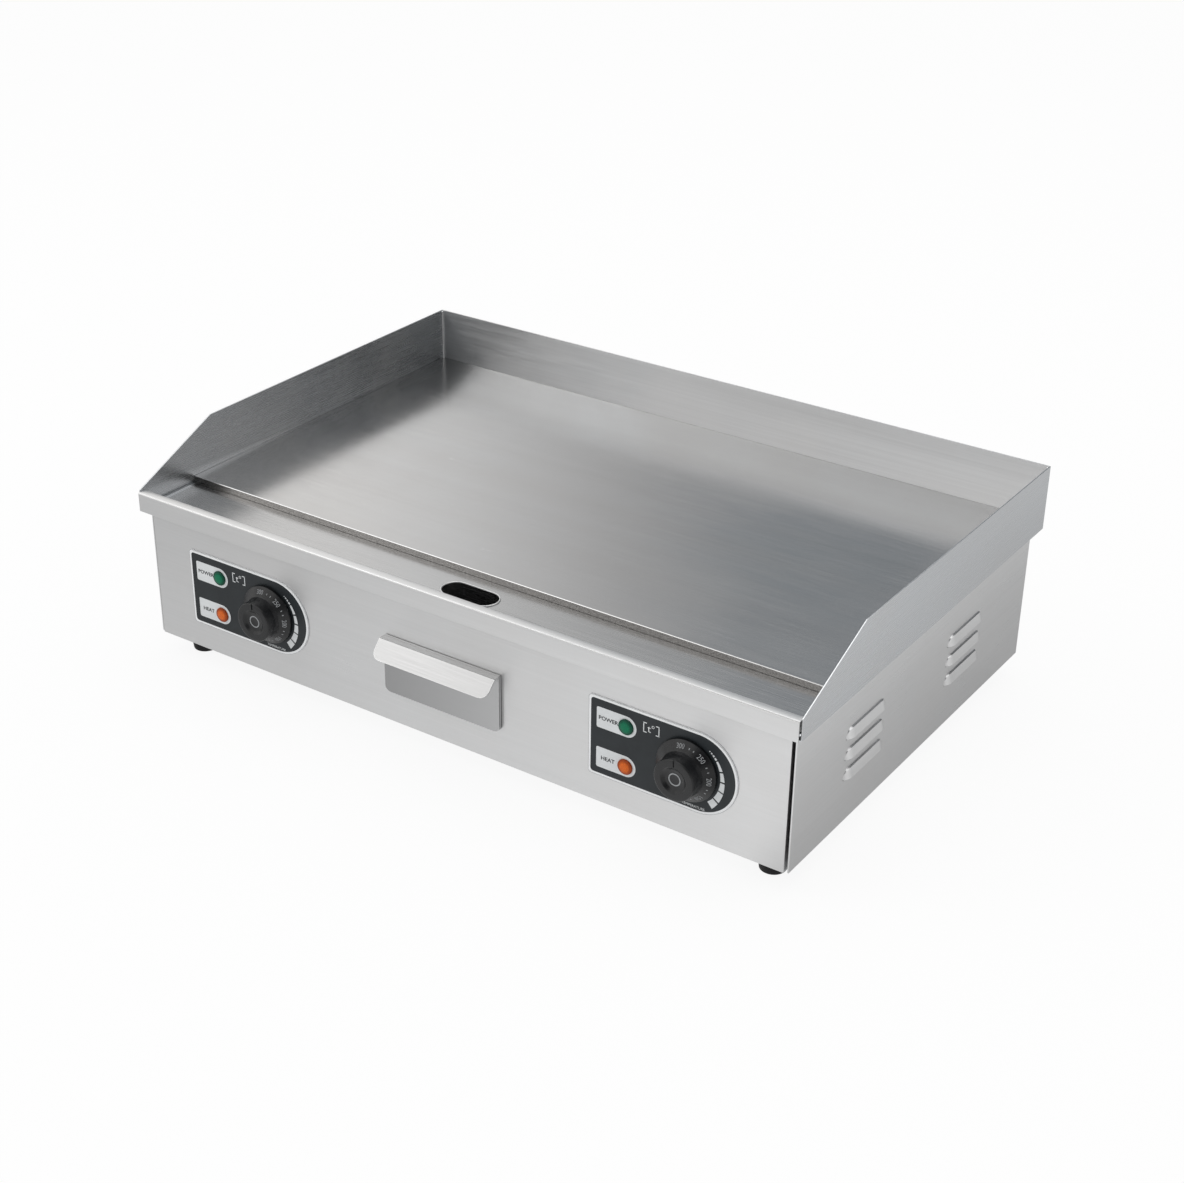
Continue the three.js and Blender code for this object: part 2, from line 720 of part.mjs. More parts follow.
function addLabel(side, middle) {
  const [halfLength, radius] = [labelLength / 2, labelHeight / 2];
  const outline = roundedOutline([
    [middle - halfLength, labelMiddle - radius, labelCornerRadius, cornerSteps],
    [middle + halfLength, labelMiddle - radius, radius, roundEndSteps],
    [middle + halfLength, labelMiddle + radius, radius, roundEndSteps],
    [middle - halfLength, labelMiddle + radius, labelCornerRadius, cornerSteps],
  ]);
  const cutLength = labelThickness + 2 * overrun;
  const cutFront = labelFace - overrun;
  let label = prismY(outline, labelFace, labelFace + labelThickness);
  const shaftHole = [middle + knobOffset, cutFront, labelMiddle];
  label = label.subtract(rod(bushRadius + seam, cutLength, middleSteps, "rear", shaftHole));
  for (const [, level] of lampLevels()) {
    const lampHole = [middle + lampOffset, cutFront, level];
    label = label.subtract(rod(lampBarrelRadius + seam, cutLength, middleSteps, "rear", lampHole));
  }
  addPiece(`${side}_control_label`, label, "labelFilm");
}

function addLamps(side, middle) {
  const back = labelFace - seam;
  const lensProfile = [
    [0, -lensStemLength],
    [lensStemRadius, -lensStemLength],
    [lensStemRadius, 0],
    [lensRadius, 0],
    [lensRadius, lensHeight - lensEdge],
    [lensRadius - lensEdge, lensHeight],
    [0, lensHeight],
  ];
  const barrelBore = lensStemRadius + seam;
  const boreDepth = lensStemLength + seam;
  const barrelProfile = [
    [0, boreDepth],
    [barrelBore, boreDepth],
    [barrelBore, 0],
    [lampBarrelRadius, 0],
    [lampBarrelRadius, lampBarrelLength],
    [0, lampBarrelLength],
  ];
  for (const [purpose, level] of lampLevels()) {
    const x = middle + lampOffset;
    const finish = purpose === "power" ? "greenLens" : "orangeLens";
    addPiece(`${side}_${purpose}_lamp_lens`, turned(lensProfile, middleSteps, "front", [x, back, level]), finish);
    const barrel = turned(barrelProfile, middleSteps, "rear", [x, labelFace, level]);
    addPiece(`${side}_${purpose}_lamp_body`, barrel, "whitePlastic");
  }
}

function shaftSolid(radius, flat, x, from, to) {
  const shaft = rod(radius, to - from, smallSteps, "rear", [x, from, labelMiddle]);
  const cut = block(
    [x - 2 * radius, from - overrun, labelMiddle + radius - flat],
    [x + 2 * radius, knobBack, labelMiddle + 2 * radius],
  );
  return shaft.subtract(cut);
}

function addKnob(side, x) {
  const recessFloor = knobHeight - knobRecess;
  const profile = [
    [0, 0],
    [dialRadius, 0],
    [dialRadius, dialRim],
    [gripBaseRadius, gripBaseHeight],
    [gripFaceRadius, knobHeight - knobEdge],
    [gripFaceRadius - knobEdge, knobHeight],
    [knobRecessRadius, knobHeight],
    [knobRecessRadius, recessFloor],
    [0, recessFloor],
  ];
  let knob = turned(profile, wideSteps, "front", [x, knobBack, labelMiddle]);
  const boreEnd = knobBack - shaftGrip - seam;
  knob = knob.subtract(shaftSolid(shaftRadius + seam, shaftFlat, x, boreEnd, knobBack + overrun));
  const faceY = knobBack - knobHeight;
  const groove = block(
    [x - knobGrooveWidth / 2, faceY - overrun, labelMiddle + knobRecessRadius + knobEdge],
    [x + knobGrooveWidth / 2, faceY + knobGrooveDepth, labelMiddle + gripFaceRadius + overrun],
  );
  addPiece(`${side}_knob`, knob.subtract(groove), "blackPlastic");
}

function addThermostat(side, x) {
  const half = thermostatWidth / 2;
  const rear = thermostatFront + thermostatDepth;
  let body = block([x - half, thermostatFront, labelMiddle - half], [x + half, rear, labelMiddle + half]);
  const bushFront = labelFace;
  const bushLength = thermostatFront + overrun - bushFront;
  body = body.add(rod(bushRadius, bushLength, middleSteps, "rear", [x, bushFront, labelMiddle]));
  const boreLength = thermostatFront + shaftHold + seam - bushFront + overrun;
  const bore = rod(shaftRadius + runGap, boreLength, middleSteps, "rear", [x, bushFront - overrun, labelMiddle]);
  addPiece(`${side}_thermostat`, body.subtract(bore), "whitePlastic");
  const shaft = shaftSolid(shaftRadius, shaftFlat, x, knobBack - shaftGrip, thermostatFront + shaftHold);
  addPiece(`${side}_thermostat_shaft`, shaft, "zincSteel");
}

function addControls() {
  for (const [side, sign] of sides) {
    const middle = sign * labelOffset;
    addLabel(side, middle);
    addLamps(side, middle);
    addThermostat(side, middle + knobOffset);
    addKnob(side, middle + knobOffset);
  }
}

// Heating: a tubular element per zone, pressed to the plate by wool, a shield and nuts
function addElement(side, middle) {
  const turnRadius = elementPitch / 2;
  const first = middle - (elementPitch * (elementLegs - 1)) / 2;
  const terminal = plateFront + terminalInset;
  const corners = [
    [first, terminal, elementLevel - terminalDrop, 0],
    [first, terminal, elementLevel, terminalBend],
  ];
  for (let leg = 0; leg < elementLegs - 1; leg += 1) {
    const end = leg % 2 === 0 ? plateRear - elementRearInset : plateFront + elementFrontInset;
    corners.push([first + leg * elementPitch, end, elementLevel, turnRadius]);
    corners.push([first + (leg + 1) * elementPitch, end, elementLevel, turnRadius]);
  }
  const last = first + (elementLegs - 1) * elementPitch;
  corners.push([last, terminal, elementLevel, terminalBend]);
  corners.push([last, terminal, elementLevel - terminalDrop, 0]);
  addPiece(`${side}_heating_element`, tube(corners, elementRadius, tubeSides), "sheath");
}

function drilledSlab(sign, top, thickness) {
  const middle = sign * zoneMiddle;
  const half = zoneMiddle - insulationInset;
  const front = plateFront + insulationFrontInset;
  const rear = plateRear - insulationRearInset;
  let slab = block([middle - half, front, top - thickness], [middle + half, rear, top]);
  for (const [x, y] of studPlaces(sign)) {
    const place = [x, y, top - thickness - overrun];
    slab = slab.subtract(rod(studRadius + seam, thickness + 2 * overrun, smallSteps, "up", place));
  }
  return slab;
}

function addBulb(side, middle, knobX) {
  const x = middle - elementPitch;
  const front = plateFront + bulbInset;
  const setback = plateFront + capillaryInset;
  const level = plateBottom - seam - bulbRadius;
  const bulb = rod(bulbRadius, bulbLength, smallSteps, "rear", [x, front, level]);
  const bodyTop = labelMiddle + thermostatWidth / 2;
  const runLevel = bodyTop + capillaryRise;
  const bodyMiddle = thermostatFront + thermostatDepth / 2;
  const capillary = tube([
    [x, front + overrun, level, 0],
    [x, setback, level, capillaryBend],
    [x, setback, runLevel, capillaryBend],
    [knobX, setback, runLevel, capillaryBend],
    [knobX, bodyMiddle, runLevel, capillaryBend],
    [knobX, bodyMiddle, bodyTop + seam, 0],
  ], capillaryRadius, thinTubeSides);
  addPiece(`${side}_sensing_bulb`, bulb.add(capillary), "copper");
}

function hexNut(flats, height, holeRadius, stand, [x, y, z]) {
  const nut = hexagon(flats, height, stand, [x, y, z]);
  const start = stand === "up" ? [x, y, z - overrun] : [x, y - overrun, z];
  return nut.subtract(rod(holeRadius, height + 2 * overrun, middleSteps, stand, start));
}

function addHeating() {
  for (const [side, sign] of sides) {
    const middle = sign * zoneMiddle;
    addElement(side, middle);
    addBulb(side, middle, sign * labelOffset + knobOffset);
    addPiece(`${side}_insulation`, drilledSlab(sign, insulationTop, insulationThickness), "ceramicWool");
    addPiece(`${side}_heat_shield`, drilledSlab(sign, shieldTop, shieldThickness), "zincSteel");
    studPlaces(sign).forEach(([x, y], at) => {
      const nut = hexNut(nutFlats, nutHeight, studRadius + seam, "up", [x, y, nutTop - nutHeight]);
      addPiece(`${side}_shield_nut_${at + 1}`, nut, "zincSteel");
    });
  }
}

// Grease drawer
function addHandle() {
  const under = frontPlateTop - handleSheet;
  const profile = sheetOutline([
    [handleFace, frontPlateBottom],
    [handleFace, under],
    [handleFace - handleReach, under],
    [handleFace - handleReach - gripReach, under - gripDrop],
  ], -handleSheet, handleBend);
  const half = frontPlateWidth / 2;
  const lipStart = handleFace - handleReach;
  const lipEnd = lipStart - gripReach;
  const back = handleFace + handleSheet;
  const plan = roundedOutline([
    [-half, back + overrun, 0, 0],
    [-half, lipStart, 0, 0],
    [-half + gripTaper, lipEnd - overrun, gripCorner, cornerSteps],
    [half - gripTaper, lipEnd - overrun, gripCorner, cornerSteps],
    [half, lipStart, 0, 0],
    [half, back + overrun, 0, 0],
  ]);
  const front = roundedOutline([
    [-half, frontPlateBottom, frontPlateCorner, cornerSteps],
    [half, frontPlateBottom, frontPlateCorner, cornerSteps],
    [half, frontPlateTop + overrun, 0, 0],
    [-half, frontPlateTop + overrun, 0, 0],
  ]);
  const blank = prismX(profile, -half, half);
  const planPrism = prismZ(plan, frontPlateBottom - overrun, frontPlateTop + overrun);
  const frontPrism = prismY(front, lipEnd - 2 * overrun, back + overrun);
  addPiece("drawer_handle", blank.intersect(planPrism).intersect(frontPrism), "satinSteel");
}

function addTray() {
  const tray = block([-traySide, trayFront, trayBottom], [traySide, trayRear, trayTop]);
  const inner = [traySide - sheet, trayRear - sheet, trayTop + overrun];
  const hollow = block([-inner[0], trayFront + sheet, trayBottom + sheet], inner);
  addPiece("drawer_tray", tray.subtract(hollow), "satinSteel");
}

function addRails() {
  const front = panelBack + railEnd;
  const rear = trayRear - railEnd;
  const ledgeTop = trayBottom - seam;
  const ledgeBottom = ledgeTop - railThickness;
  const footBottom = baseTop + seam;
  const webInner = traySide + seam;
  const webOuter = webInner + railThickness;
  for (const [side, sign] of sides) {
    const outline = [
      [webOuter, footBottom],
      [webOuter + railFoot, footBottom],
      [webOuter + railFoot, footBottom + railThickness],
      [webOuter, footBottom + railThickness],
      [webOuter, ledgeTop + railGuide],
      [webInner, ledgeTop + railGuide],
      [webInner, ledgeTop],
      [webInner - railLedge, ledgeTop],
      [webInner - railLedge, ledgeBottom],
      [webInner, ledgeBottom],
      [webInner, footBottom],
    ].map(([x, z]) => [sign * x, z]);
    addPiece(`${side}_drawer_rail`, prismY(outline, front, rear), "zincSteel");
  }
}

// Wiring
function addGland() {
  const level = cabinetBottom + glandLevel;
  const threadStart = -sheet - glandThreadLength;
  const flangeEnd = seam + glandFlangeLength;
  const domeEnd = flangeEnd + glandDomeLength;
  const profile = [
    [glandBoreRadius, threadStart],
    [glandThreadRadius, threadStart],
    [glandThreadRadius, seam],
    [glandFlangeRadius, seam],
    [glandFlangeRadius, flangeEnd],
    [glandDomeRadius, flangeEnd],
    [glandDomeRadius, domeEnd - glandFlangeLength],
    [glandThreadRadius, domeEnd],
    [glandBoreRadius, domeEnd],
    [glandBoreRadius, threadStart],
  ];
  const gland = turned(profile, middleSteps, "rear", [glandOffset, cabinetRear, level]);
  addPiece("cable_gland", gland, "blackPlastic");
  const nutFront = cabinetRear - sheet - seam - glandNutHeight;
  const nut = hexNut(glandNutFlats, glandNutHeight, glandThreadRadius + seam, "rear", [glandOffset, nutFront, level]);
  addPiece("cable_gland_nut", nut, "blackPlastic");
}

function addTerminals() {
  const y = cabinetRear - blockSetback;
  const bottom = baseTop + seam;
  const top = bottom + blockHeight;
  const start = glandOffset - blockLength / 2;
  let terminalBlock = block([start, y - blockDepth / 2, bottom], [start + blockLength, y + blockDepth / 2, top]);
  for (let way = 0; way < blockWays; way += 1) {
    const x = start + (blockLength * (way + 0.5)) / blockWays;
    const well = rod(blockWellRadius, blockWellDepth + overrun, smallSteps, "up", [x, y, top - blockWellDepth]);
    terminalBlock = terminalBlock.subtract(well);
  }
  addPiece("terminal_block", terminalBlock, "whitePlastic");
  const earth = turned([
    [0, 0],
    [earthCollarRadius, 0],
    [earthCollarRadius, earthCollarHeight],
    [earthRadius, earthCollarHeight],
    [earthRadius, earthHeight],
    [0, earthHeight],
  ], smallSteps, "up", [start - blockDepth, y, bottom]);
  addPiece("earth_terminal", earth, "brass");
}

function addHarnesses() {
  const level = baseTop + seam + harnessRadius;
  const blockFront = cabinetRear - blockSetback - blockDepth / 2 - seam;
  const start = glandOffset - blockLength / 2;
  const plugDepth = thermostatFront + thermostatDepth + seam;
  sides.forEach(([side, sign], at) => {
    const x = start + (blockLength * (at + 0.5)) / blockWays;
    const knobX = sign * labelOffset + knobOffset;
    const crossing = (trayRear + blockFront - sign * harnessSpacing) / 2;
    const sideBend = Math.min(harnessBend, Math.abs(knobX - x) / 2);
    const run = tube([
      [x, blockFront, level, 0],
      [x, crossing, level, sideBend],
      [knobX, crossing, level, sideBend],
      [knobX, plugDepth + 2 * harnessBend, level, harnessBend],
      [knobX, plugDepth + 2 * harnessBend, labelMiddle, harnessBend],
      [knobX, plugDepth, labelMiddle, 0],
    ], harnessRadius, thinTubeSides);
    addPiece(`${side}_wiring_harness`, run, "cableJacket");
  });
}

addPlate();
addTrough();
addDripChute();
addSplashGuards();
addFrontPanel();
addSidePanels();
addRearPanel();
addBase();
addFeet();
addControls();
addHeating();
addTray();
addHandle();
addRails();
addGland();
addTerminals();
addHarnesses();

// The origin is at the middle of the whole griddle, on the surface that it stands on.
const bounds = new THREE.Box3().setFromObject(griddle);
const middle = bounds.getCenter(new THREE.Vector3());
griddle.position.set(-middle.x, -middle.y, -bounds.min.z);

export default griddle;
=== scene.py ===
import contextlib
import math

import bmesh
import bpy
import mathutils
import numpy as np
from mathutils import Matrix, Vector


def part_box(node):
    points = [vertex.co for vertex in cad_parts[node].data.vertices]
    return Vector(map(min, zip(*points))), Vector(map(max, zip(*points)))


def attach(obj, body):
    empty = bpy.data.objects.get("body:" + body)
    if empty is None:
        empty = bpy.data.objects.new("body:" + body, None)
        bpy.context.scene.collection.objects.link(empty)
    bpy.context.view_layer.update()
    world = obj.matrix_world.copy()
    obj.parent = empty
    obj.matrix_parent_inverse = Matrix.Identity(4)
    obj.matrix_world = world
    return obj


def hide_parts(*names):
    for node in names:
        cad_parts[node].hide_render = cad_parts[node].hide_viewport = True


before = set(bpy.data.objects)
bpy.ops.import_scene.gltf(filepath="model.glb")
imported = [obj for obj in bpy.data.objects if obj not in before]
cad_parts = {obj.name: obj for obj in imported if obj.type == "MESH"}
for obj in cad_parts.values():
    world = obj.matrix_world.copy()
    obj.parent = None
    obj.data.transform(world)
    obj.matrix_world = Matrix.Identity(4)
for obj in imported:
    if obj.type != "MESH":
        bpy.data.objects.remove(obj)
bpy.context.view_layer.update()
sides = {"left": -1, "right": 1}
sheet = 0.0012
print("frame loaded")


# shader node helpers: a value for a socket is a constant or another node's output

def feed(tree, socket, value):
    if isinstance(value, bpy.types.NodeSocket):
        tree.links.new(value, socket)
    else:
        socket.default_value = value


def addNode(tree, kind, inputs=None, **settings):
    made = tree.nodes.new(kind)
    for name, value in settings.items():
        setattr(made, name, value)
    for name, value in (inputs or {}).items():
        feed(tree, made.inputs[name], value)
    return made


def addMath(tree, operation, first, second=0.0, clamp=False):
    return addNode(tree, "ShaderNodeMath", {0: first, 1: second}, operation=operation, use_clamp=clamp).outputs[0]


def times(tree, first, second):
    return addMath(tree, "MULTIPLY", first, second)


def addVectorMath(tree, operation, first, second):
    return addNode(tree, "ShaderNodeVectorMath", {0: first, 1: second}, operation=operation).outputs


def addRange(tree, value, fromLow, fromHigh, toLow=0.0, toHigh=1.0, smooth=False):
    limits = {"Value": value, "From Min": fromLow, "From Max": fromHigh, "To Min": toLow, "To Max": toHigh}
    style = "SMOOTHSTEP" if smooth else "LINEAR"
    return addNode(tree, "ShaderNodeMapRange", limits, interpolation_type=style).outputs[0]


def addMix(tree, factor, first, second, blend="MIX"):
    inputs = {0: factor, 6: first, 7: second}
    return addNode(tree, "ShaderNodeMix", inputs, data_type="RGBA", blend_type=blend).outputs[2]


def tinted(tree, first, second):
    return addMix(tree, 1.0, first, second, "MULTIPLY")


def overlay(tree, mask, share, under, over):
    return addMix(tree, times(tree, mask, share), under, over)


def addNoise(tree, vector, scale, detail=2.0, roughness=0.5, distortion=0.0):
    settings = {"Vector": vector, "Scale": scale, "Detail": detail, "Roughness": roughness,
                "Distortion": distortion}
    return addNode(tree, "ShaderNodeTexNoise", settings).outputs["Fac"]


def objectPlace(tree):
    return addNode(tree, "ShaderNodeTexCoord").outputs["Object"]


def partsOf(tree, vector):
    return addNode(tree, "ShaderNodeSeparateXYZ", {0: vector}).outputs


def newGroup(name, inputs, outputs):
    # a node group with inputs of {name: default}, and with outputs that are all numbers
    tree = bpy.data.node_groups.new(name, "ShaderNodeTree")
    for socket, value in inputs.items():
        kind = "NodeSocketVector" if isinstance(value, tuple) else "NodeSocketFloat"
        tree.interface.new_socket(socket, in_out="INPUT", socket_type=kind).default_value = value
    for socket in outputs:
        tree.interface.new_socket(socket, in_out="OUTPUT", socket_type="NodeSocketFloat")
    return tree, tree.nodes.new("NodeGroupInput").outputs, tree.nodes.new("NodeGroupOutput").inputs


def useGroup(tree, group, **inputs):
    return addNode(tree, "ShaderNodeGroup", inputs, node_tree=group).outputs


# groups that several materials use

def buildGrainGroup():
    # brush grain: noise on object coordinates that are stretched along the grain
    tree, start, end = newGroup("brush grain", {"Stretch": (10.0, 1000.0, 1000.0)}, ("Fine", "Streak", "Band"))
    stretched = addVectorMath(tree, "MULTIPLY", objectPlace(tree), start["Stretch"])[0]
    for name, noise in (("Fine", (1.0, 2.0, 0.6)), ("Streak", (0.24, 3.0, 0.65)), ("Band", (0.035, 2.0, 0.5))):
        feed(tree, end[name], addNoise(tree, stretched, *noise))
    return tree


def buildCloudGroup():
    # soft clouds of handling marks and small specks
    tree, start, end = newGroup("handling marks", {"Size": 9.0}, ("Cloud", "Speck"))
    place = objectPlace(tree)
    cloud = addNoise(tree, place, start["Size"], 4.0, 0.6, 0.4)
    feed(tree, end["Cloud"], addRange(tree, cloud, 0.3, 0.7, smooth=True))
    feed(tree, end["Speck"], addRange(tree, addNoise(tree, place, 900.0), 0.66, 0.74))
    return tree


def buildEdgeGroup():
    # mask of worn edges: where a rounded normal leaves the face's own normal
    tree, start, end = newGroup("worn edges", {"Radius": 0.0008}, ("Edge",))
    rounded = addNode(tree, "ShaderNodeBevel", {"Radius": start["Radius"]}, samples=4).outputs[0]
    flat = addNode(tree, "ShaderNodeNewGeometry").outputs["True Normal"]
    same = addVectorMath(tree, "DOT_PRODUCT", rounded, flat)["Value"]
    feed(tree, end["Edge"], addRange(tree, same, 0.98, 0.8))
    return tree


def buildScratchGroup():
    # hair scratches: thin contour lines of a noise, broken up by a second one
    tree, start, end = newGroup("hair scratches", {"Size": 60.0, "Width": 0.006}, ("Scratch",))
    place = objectPlace(tree)
    height = addNoise(tree, place, start["Size"], 1.0, 0.4, 1.2)
    away = addMath(tree, "ABSOLUTE", addMath(tree, "SUBTRACT", height, 0.5))
    line = addMath(tree, "SUBTRACT", 1.0, addMath(tree, "DIVIDE", away, start["Width"]), clamp=True)
    broken = addRange(tree, addNoise(tree, place, 170.0), 0.5, 0.6)
    feed(tree, end["Scratch"], times(tree, line, broken))
    return tree


brushGrain = buildGrainGroup()
handlingMarks = buildCloudGroup()
wornEdges = buildEdgeGroup()
hairScratches = buildScratchGroup()


# materials

def connect(tree, shader, **sockets):
    # the shader's sockets by name, with _ for a space
    for socket, value in sockets.items():
        feed(tree, shader.inputs[socket.replace("_", " ")], value)


def newMaterial(name, **sockets):
    material = bpy.data.materials.new(name)
    material.use_nodes = True
    tree = material.node_tree
    shader = tree.nodes["Principled BSDF"]
    connect(tree, shader, **sockets)
    return material, tree, shader


def grey(value, warmth=0.0):
    return (value * (1 + warmth), value, value * (1 - warmth), 1.0)


def followNoise(tree, noise, usual, below, above):
    # a value that a noise moves from below its usual one to above it
    return addRange(tree, noise, 0.3, 0.7, usual - below, usual + above)


def addBump(tree, shader, height, strength, distance=0.0002):
    bump = addNode(tree, "ShaderNodeBump", {"Height": height, "Strength": strength, "Distance": distance})
    connect(tree, shader, Normal=bump.outputs[0])


def facingShare(tree, axis, start, end):
    # share of a surface that faces along one axis, from its true normal
    normal = addNode(tree, "ShaderNodeNewGeometry").outputs["True Normal"]
    return addRange(tree, partsOf(tree, normal)[axis], start, end)


def brushedBase(name, grainAxis, aniso, fineness=1500.0, markSize=7.0):
    # what all steel here shares: grain along one axis, with the highlight drawn out across it
    along = {axis: float(axis == grainAxis) for axis in "XYZ"}
    stretch = [14.0 if axis == grainAxis else fineness for axis in "XYZ"]
    material, tree, shader = newMaterial(name, Metallic=1.0, Anisotropic=aniso, Anisotropic_Rotation=0.25)
    connect(tree, shader, Tangent=addNode(tree, "ShaderNodeCombineXYZ", along).outputs[0])
    brushed = useGroup(tree, brushGrain, Stretch=stretch)
    return material, tree, shader, brushed, useGroup(tree, handlingMarks, Size=markSize)


def steelMaterial(name, grainAxis, tone, rough, grain=1.0, aniso=0.65, cool=0.006, band=0.05):
    # brushed stainless: colour and roughness follow the grain, edges are lighter
    look = dict(darker=0.16, lighter=0.14, clouds=0.35, cloudTone=0.95, edges=0.6, edgeTone=1.45, lightest=0.92)
    material, tree, shader, brushed, marks = brushedBase(name, grainAxis, aniso)
    streaks = addMix(tree, brushed["Streak"], grey(tone * (1 - look["darker"] * grain), -cool),
                     grey(tone * (1 + look["lighter"] * grain), -cool))
    color = tinted(tree, streaks, addMix(tree, brushed["Band"], grey(1 - band), grey(1 + band)))
    clouded = overlay(tree, marks["Cloud"], look["clouds"], color, grey(tone * look["cloudTone"], 0.01))
    edge = useGroup(tree, wornEdges)["Edge"]
    final = overlay(tree, edge, look["edges"], clouded, grey(min(tone * look["edgeTone"], look["lightest"])))
    roughness = followNoise(tree, brushed["Fine"], rough, 0.05, 0.07)
    softened = addMath(tree, "ADD", roughness, times(tree, marks["Cloud"], 0.05))
    connect(tree, shader, Base_Color=final, Roughness=softened)
    addBump(tree, shader, brushed["Fine"], 0.12 * grain)
    return material


def handleMaterial():
    # drawer handle: smooth rolled steel whose plate is lighter towards the right as a painted reflection, with one
    # tone for each of its bends by the way it faces: painted light and shade
    look = dict(plateTone=0.38, flangeLitTone=0.5, lipShadeTone=0.35, edgeTone=0.85, rough=0.22, left=0.86, right=1.16,
                reach=0.065)
    material, tree, shader, brushed, marks = brushedBase("drawer handle steel", "X", 0.4)
    # painted reflection: the plate's tone runs from darker at the left to lighter at the right
    across = addRange(tree, partsOf(tree, objectPlace(tree))["X"], -look["reach"], look["reach"])
    paintedReflectionDrift = addMix(tree, across, grey(look["left"]), grey(look["right"]))
    plateTone = tinted(tree, grey(look["plateTone"], -0.006), paintedReflectionDrift)
    # painted light and shade by facing: the sloping lip is darker and the upward flange is lighter
    tone = addMix(tree, facingShare(tree, "Z", 0.25, 0.6), plateTone, grey(look["lipShadeTone"]))
    tone = addMix(tree, facingShare(tree, "Z", 0.9, 0.98), tone, grey(look["flangeLitTone"]))
    color = tinted(tree, tone, addMix(tree, brushed["Streak"], grey(0.98), grey(1.02)))
    clouded = overlay(tree, marks["Cloud"], 0.15, color, tinted(tree, color, grey(0.9)))
    final = overlay(tree, useGroup(tree, wornEdges)["Edge"], 0.5, clouded, grey(look["edgeTone"]))
    connect(tree, shader, Base_Color=final, Roughness=followNoise(tree, brushed["Fine"], look["rough"], 0.03, 0.05))
    addBump(tree, shader, brushed["Fine"], 0.015)
    return material


def plateMaterial():
    # ground cooking plate: fine grain across, broad bands, hair scratches, grit, grey mill scale on its front edge
    look = dict(tone=0.52, rough=0.16, edgeTone=0.34, clouds=0.3, grit=0.35, scratches=0.35, scaleSize=800.0)
    material, tree, shader, brushed, marks = brushedBase("ground plate", "X", 0.3, 900.0, 5.0)
    scratch = useGroup(tree, hairScratches, Size=55.0, Width=0.005)["Scratch"]
    tone = look["tone"]
    streaks = addMix(tree, brushed["Streak"], grey(tone * 0.97), grey(tone * 1.03))
    color = tinted(tree, streaks, addMix(tree, brushed["Band"], grey(0.97, 0.008), grey(1.03, -0.006)))
    clouded = overlay(tree, marks["Cloud"], look["clouds"], color, grey(tone * 0.92, 0.02))
    gritty = overlay(tree, marks["Speck"], look["grit"], clouded, grey(tone * 0.72, 0.02))
    scratched = overlay(tree, scratch, look["scratches"], gritty, grey(tone * 1.35))
    front = facingShare(tree, "Y", -0.8, -0.95)
    mottle = addRange(tree, addNoise(tree, objectPlace(tree), look["scaleSize"], 3.0, 0.7), 0.3, 0.7)
    scale = addMix(tree, mottle, grey(look["edgeTone"] * 0.55, 0.04), grey(look["edgeTone"] * 1.5, 0.03))
    roughness = followNoise(tree, brushed["Fine"], look["rough"], 0.03, 0.05)
    cloudy = addMath(tree, "ADD", roughness, times(tree, marks["Cloud"], 0.06))
    connect(tree, shader, Base_Color=addMix(tree, front, scratched, scale),
            Roughness=addMath(tree, "ADD", cloudy, times(tree, front, 0.08)))
    addBump(tree, shader, addMath(tree, "SUBTRACT", brushed["Fine"], times(tree, scratch, 0.6)), 0.05)
    return material


def shade(color, factor, lift=0.0):
    return (*[min(channel * factor + lift, 1.0) for channel in color], 1.0)


def plasticMaterial(name, color, rough, speck=0.25, bump=0.06, specular=0.5):
    # moulded plastic, print or rubber: faint mottling, fine grain and lighter edges
    material, tree, shader = newMaterial(name, Specular_IOR_Level=specular)
    marks = useGroup(tree, handlingMarks, Size=40.0)
    edge = useGroup(tree, wornEdges, Radius=0.0005)["Edge"]
    mottled = addMix(tree, marks["Cloud"], shade(color, 1 - speck), shade(color, 1 + speck))
    fine = addNoise(tree, objectPlace(tree), 1800.0, 2.0, 0.6)
    connect(tree, shader, Base_Color=overlay(tree, edge, 0.25, mottled, shade(color, 1.6, 0.02)),
            Roughness=followNoise(tree, fine, rough, 0.05, 0.06))
    addBump(tree, shader, fine, bump)
    return material


def lensMaterial(name, deep, litMiddle):
    # lamp lens: brighter towards the middle as painted light, with the fine prisms of its inner side faintly seen
    material, tree, shader = newMaterial(name, Roughness=0.3, Specular_IOR_Level=0.2)
    middle = addNode(tree, "ShaderNodeAttribute", attribute_name="middle").outputs["Fac"]
    cells = addNode(tree, "ShaderNodeTexVoronoi", {"Vector": objectPlace(tree), "Scale": 900.0}).outputs["Distance"]
    glassWithPaintedLight = addMix(tree, addRange(tree, middle, 0.05, 0.6, smooth=True), (*deep, 1.0), (*litMiddle, 1.0))
    prisms = addMix(tree, addRange(tree, cells, 0.1, 0.7), grey(1.12), grey(0.84))
    connect(tree, shader, Base_Color=tinted(tree, glassWithPaintedLight, prisms))
    addBump(tree, shader, cells, 0.08)
    return material


def woolMaterial():
    material, tree, shader = newMaterial("ceramic wool", Roughness=0.95)
    fibre = addNoise(tree, objectPlace(tree), 400.0, 4.0, 0.7, 1.5)
    connect(tree, shader, Base_Color=addMix(tree, fibre, (0.6, 0.57, 0.5, 1.0), (0.9, 0.88, 0.82, 1.0)))
    addBump(tree, shader, fibre, 0.5, 0.001)
    return material


def metalMaterial(name, color, rough, spread):
    # plated or drawn metal: cloudy tint and roughness
    material, tree, shader = newMaterial(name, Metallic=1.0)
    cloud = useGroup(tree, handlingMarks, Size=30.0)["Cloud"]
    connect(tree, shader, Base_Color=addMix(tree, cloud, shade(color, 1.0), shade(color, 1 - spread)),
            Roughness=addRange(tree, cloud, 0.0, 1.0, rough - 0.06, rough + 0.08))
    addBump(tree, shader, addNoise(tree, objectPlace(tree), 1200.0), 0.08)
    return material


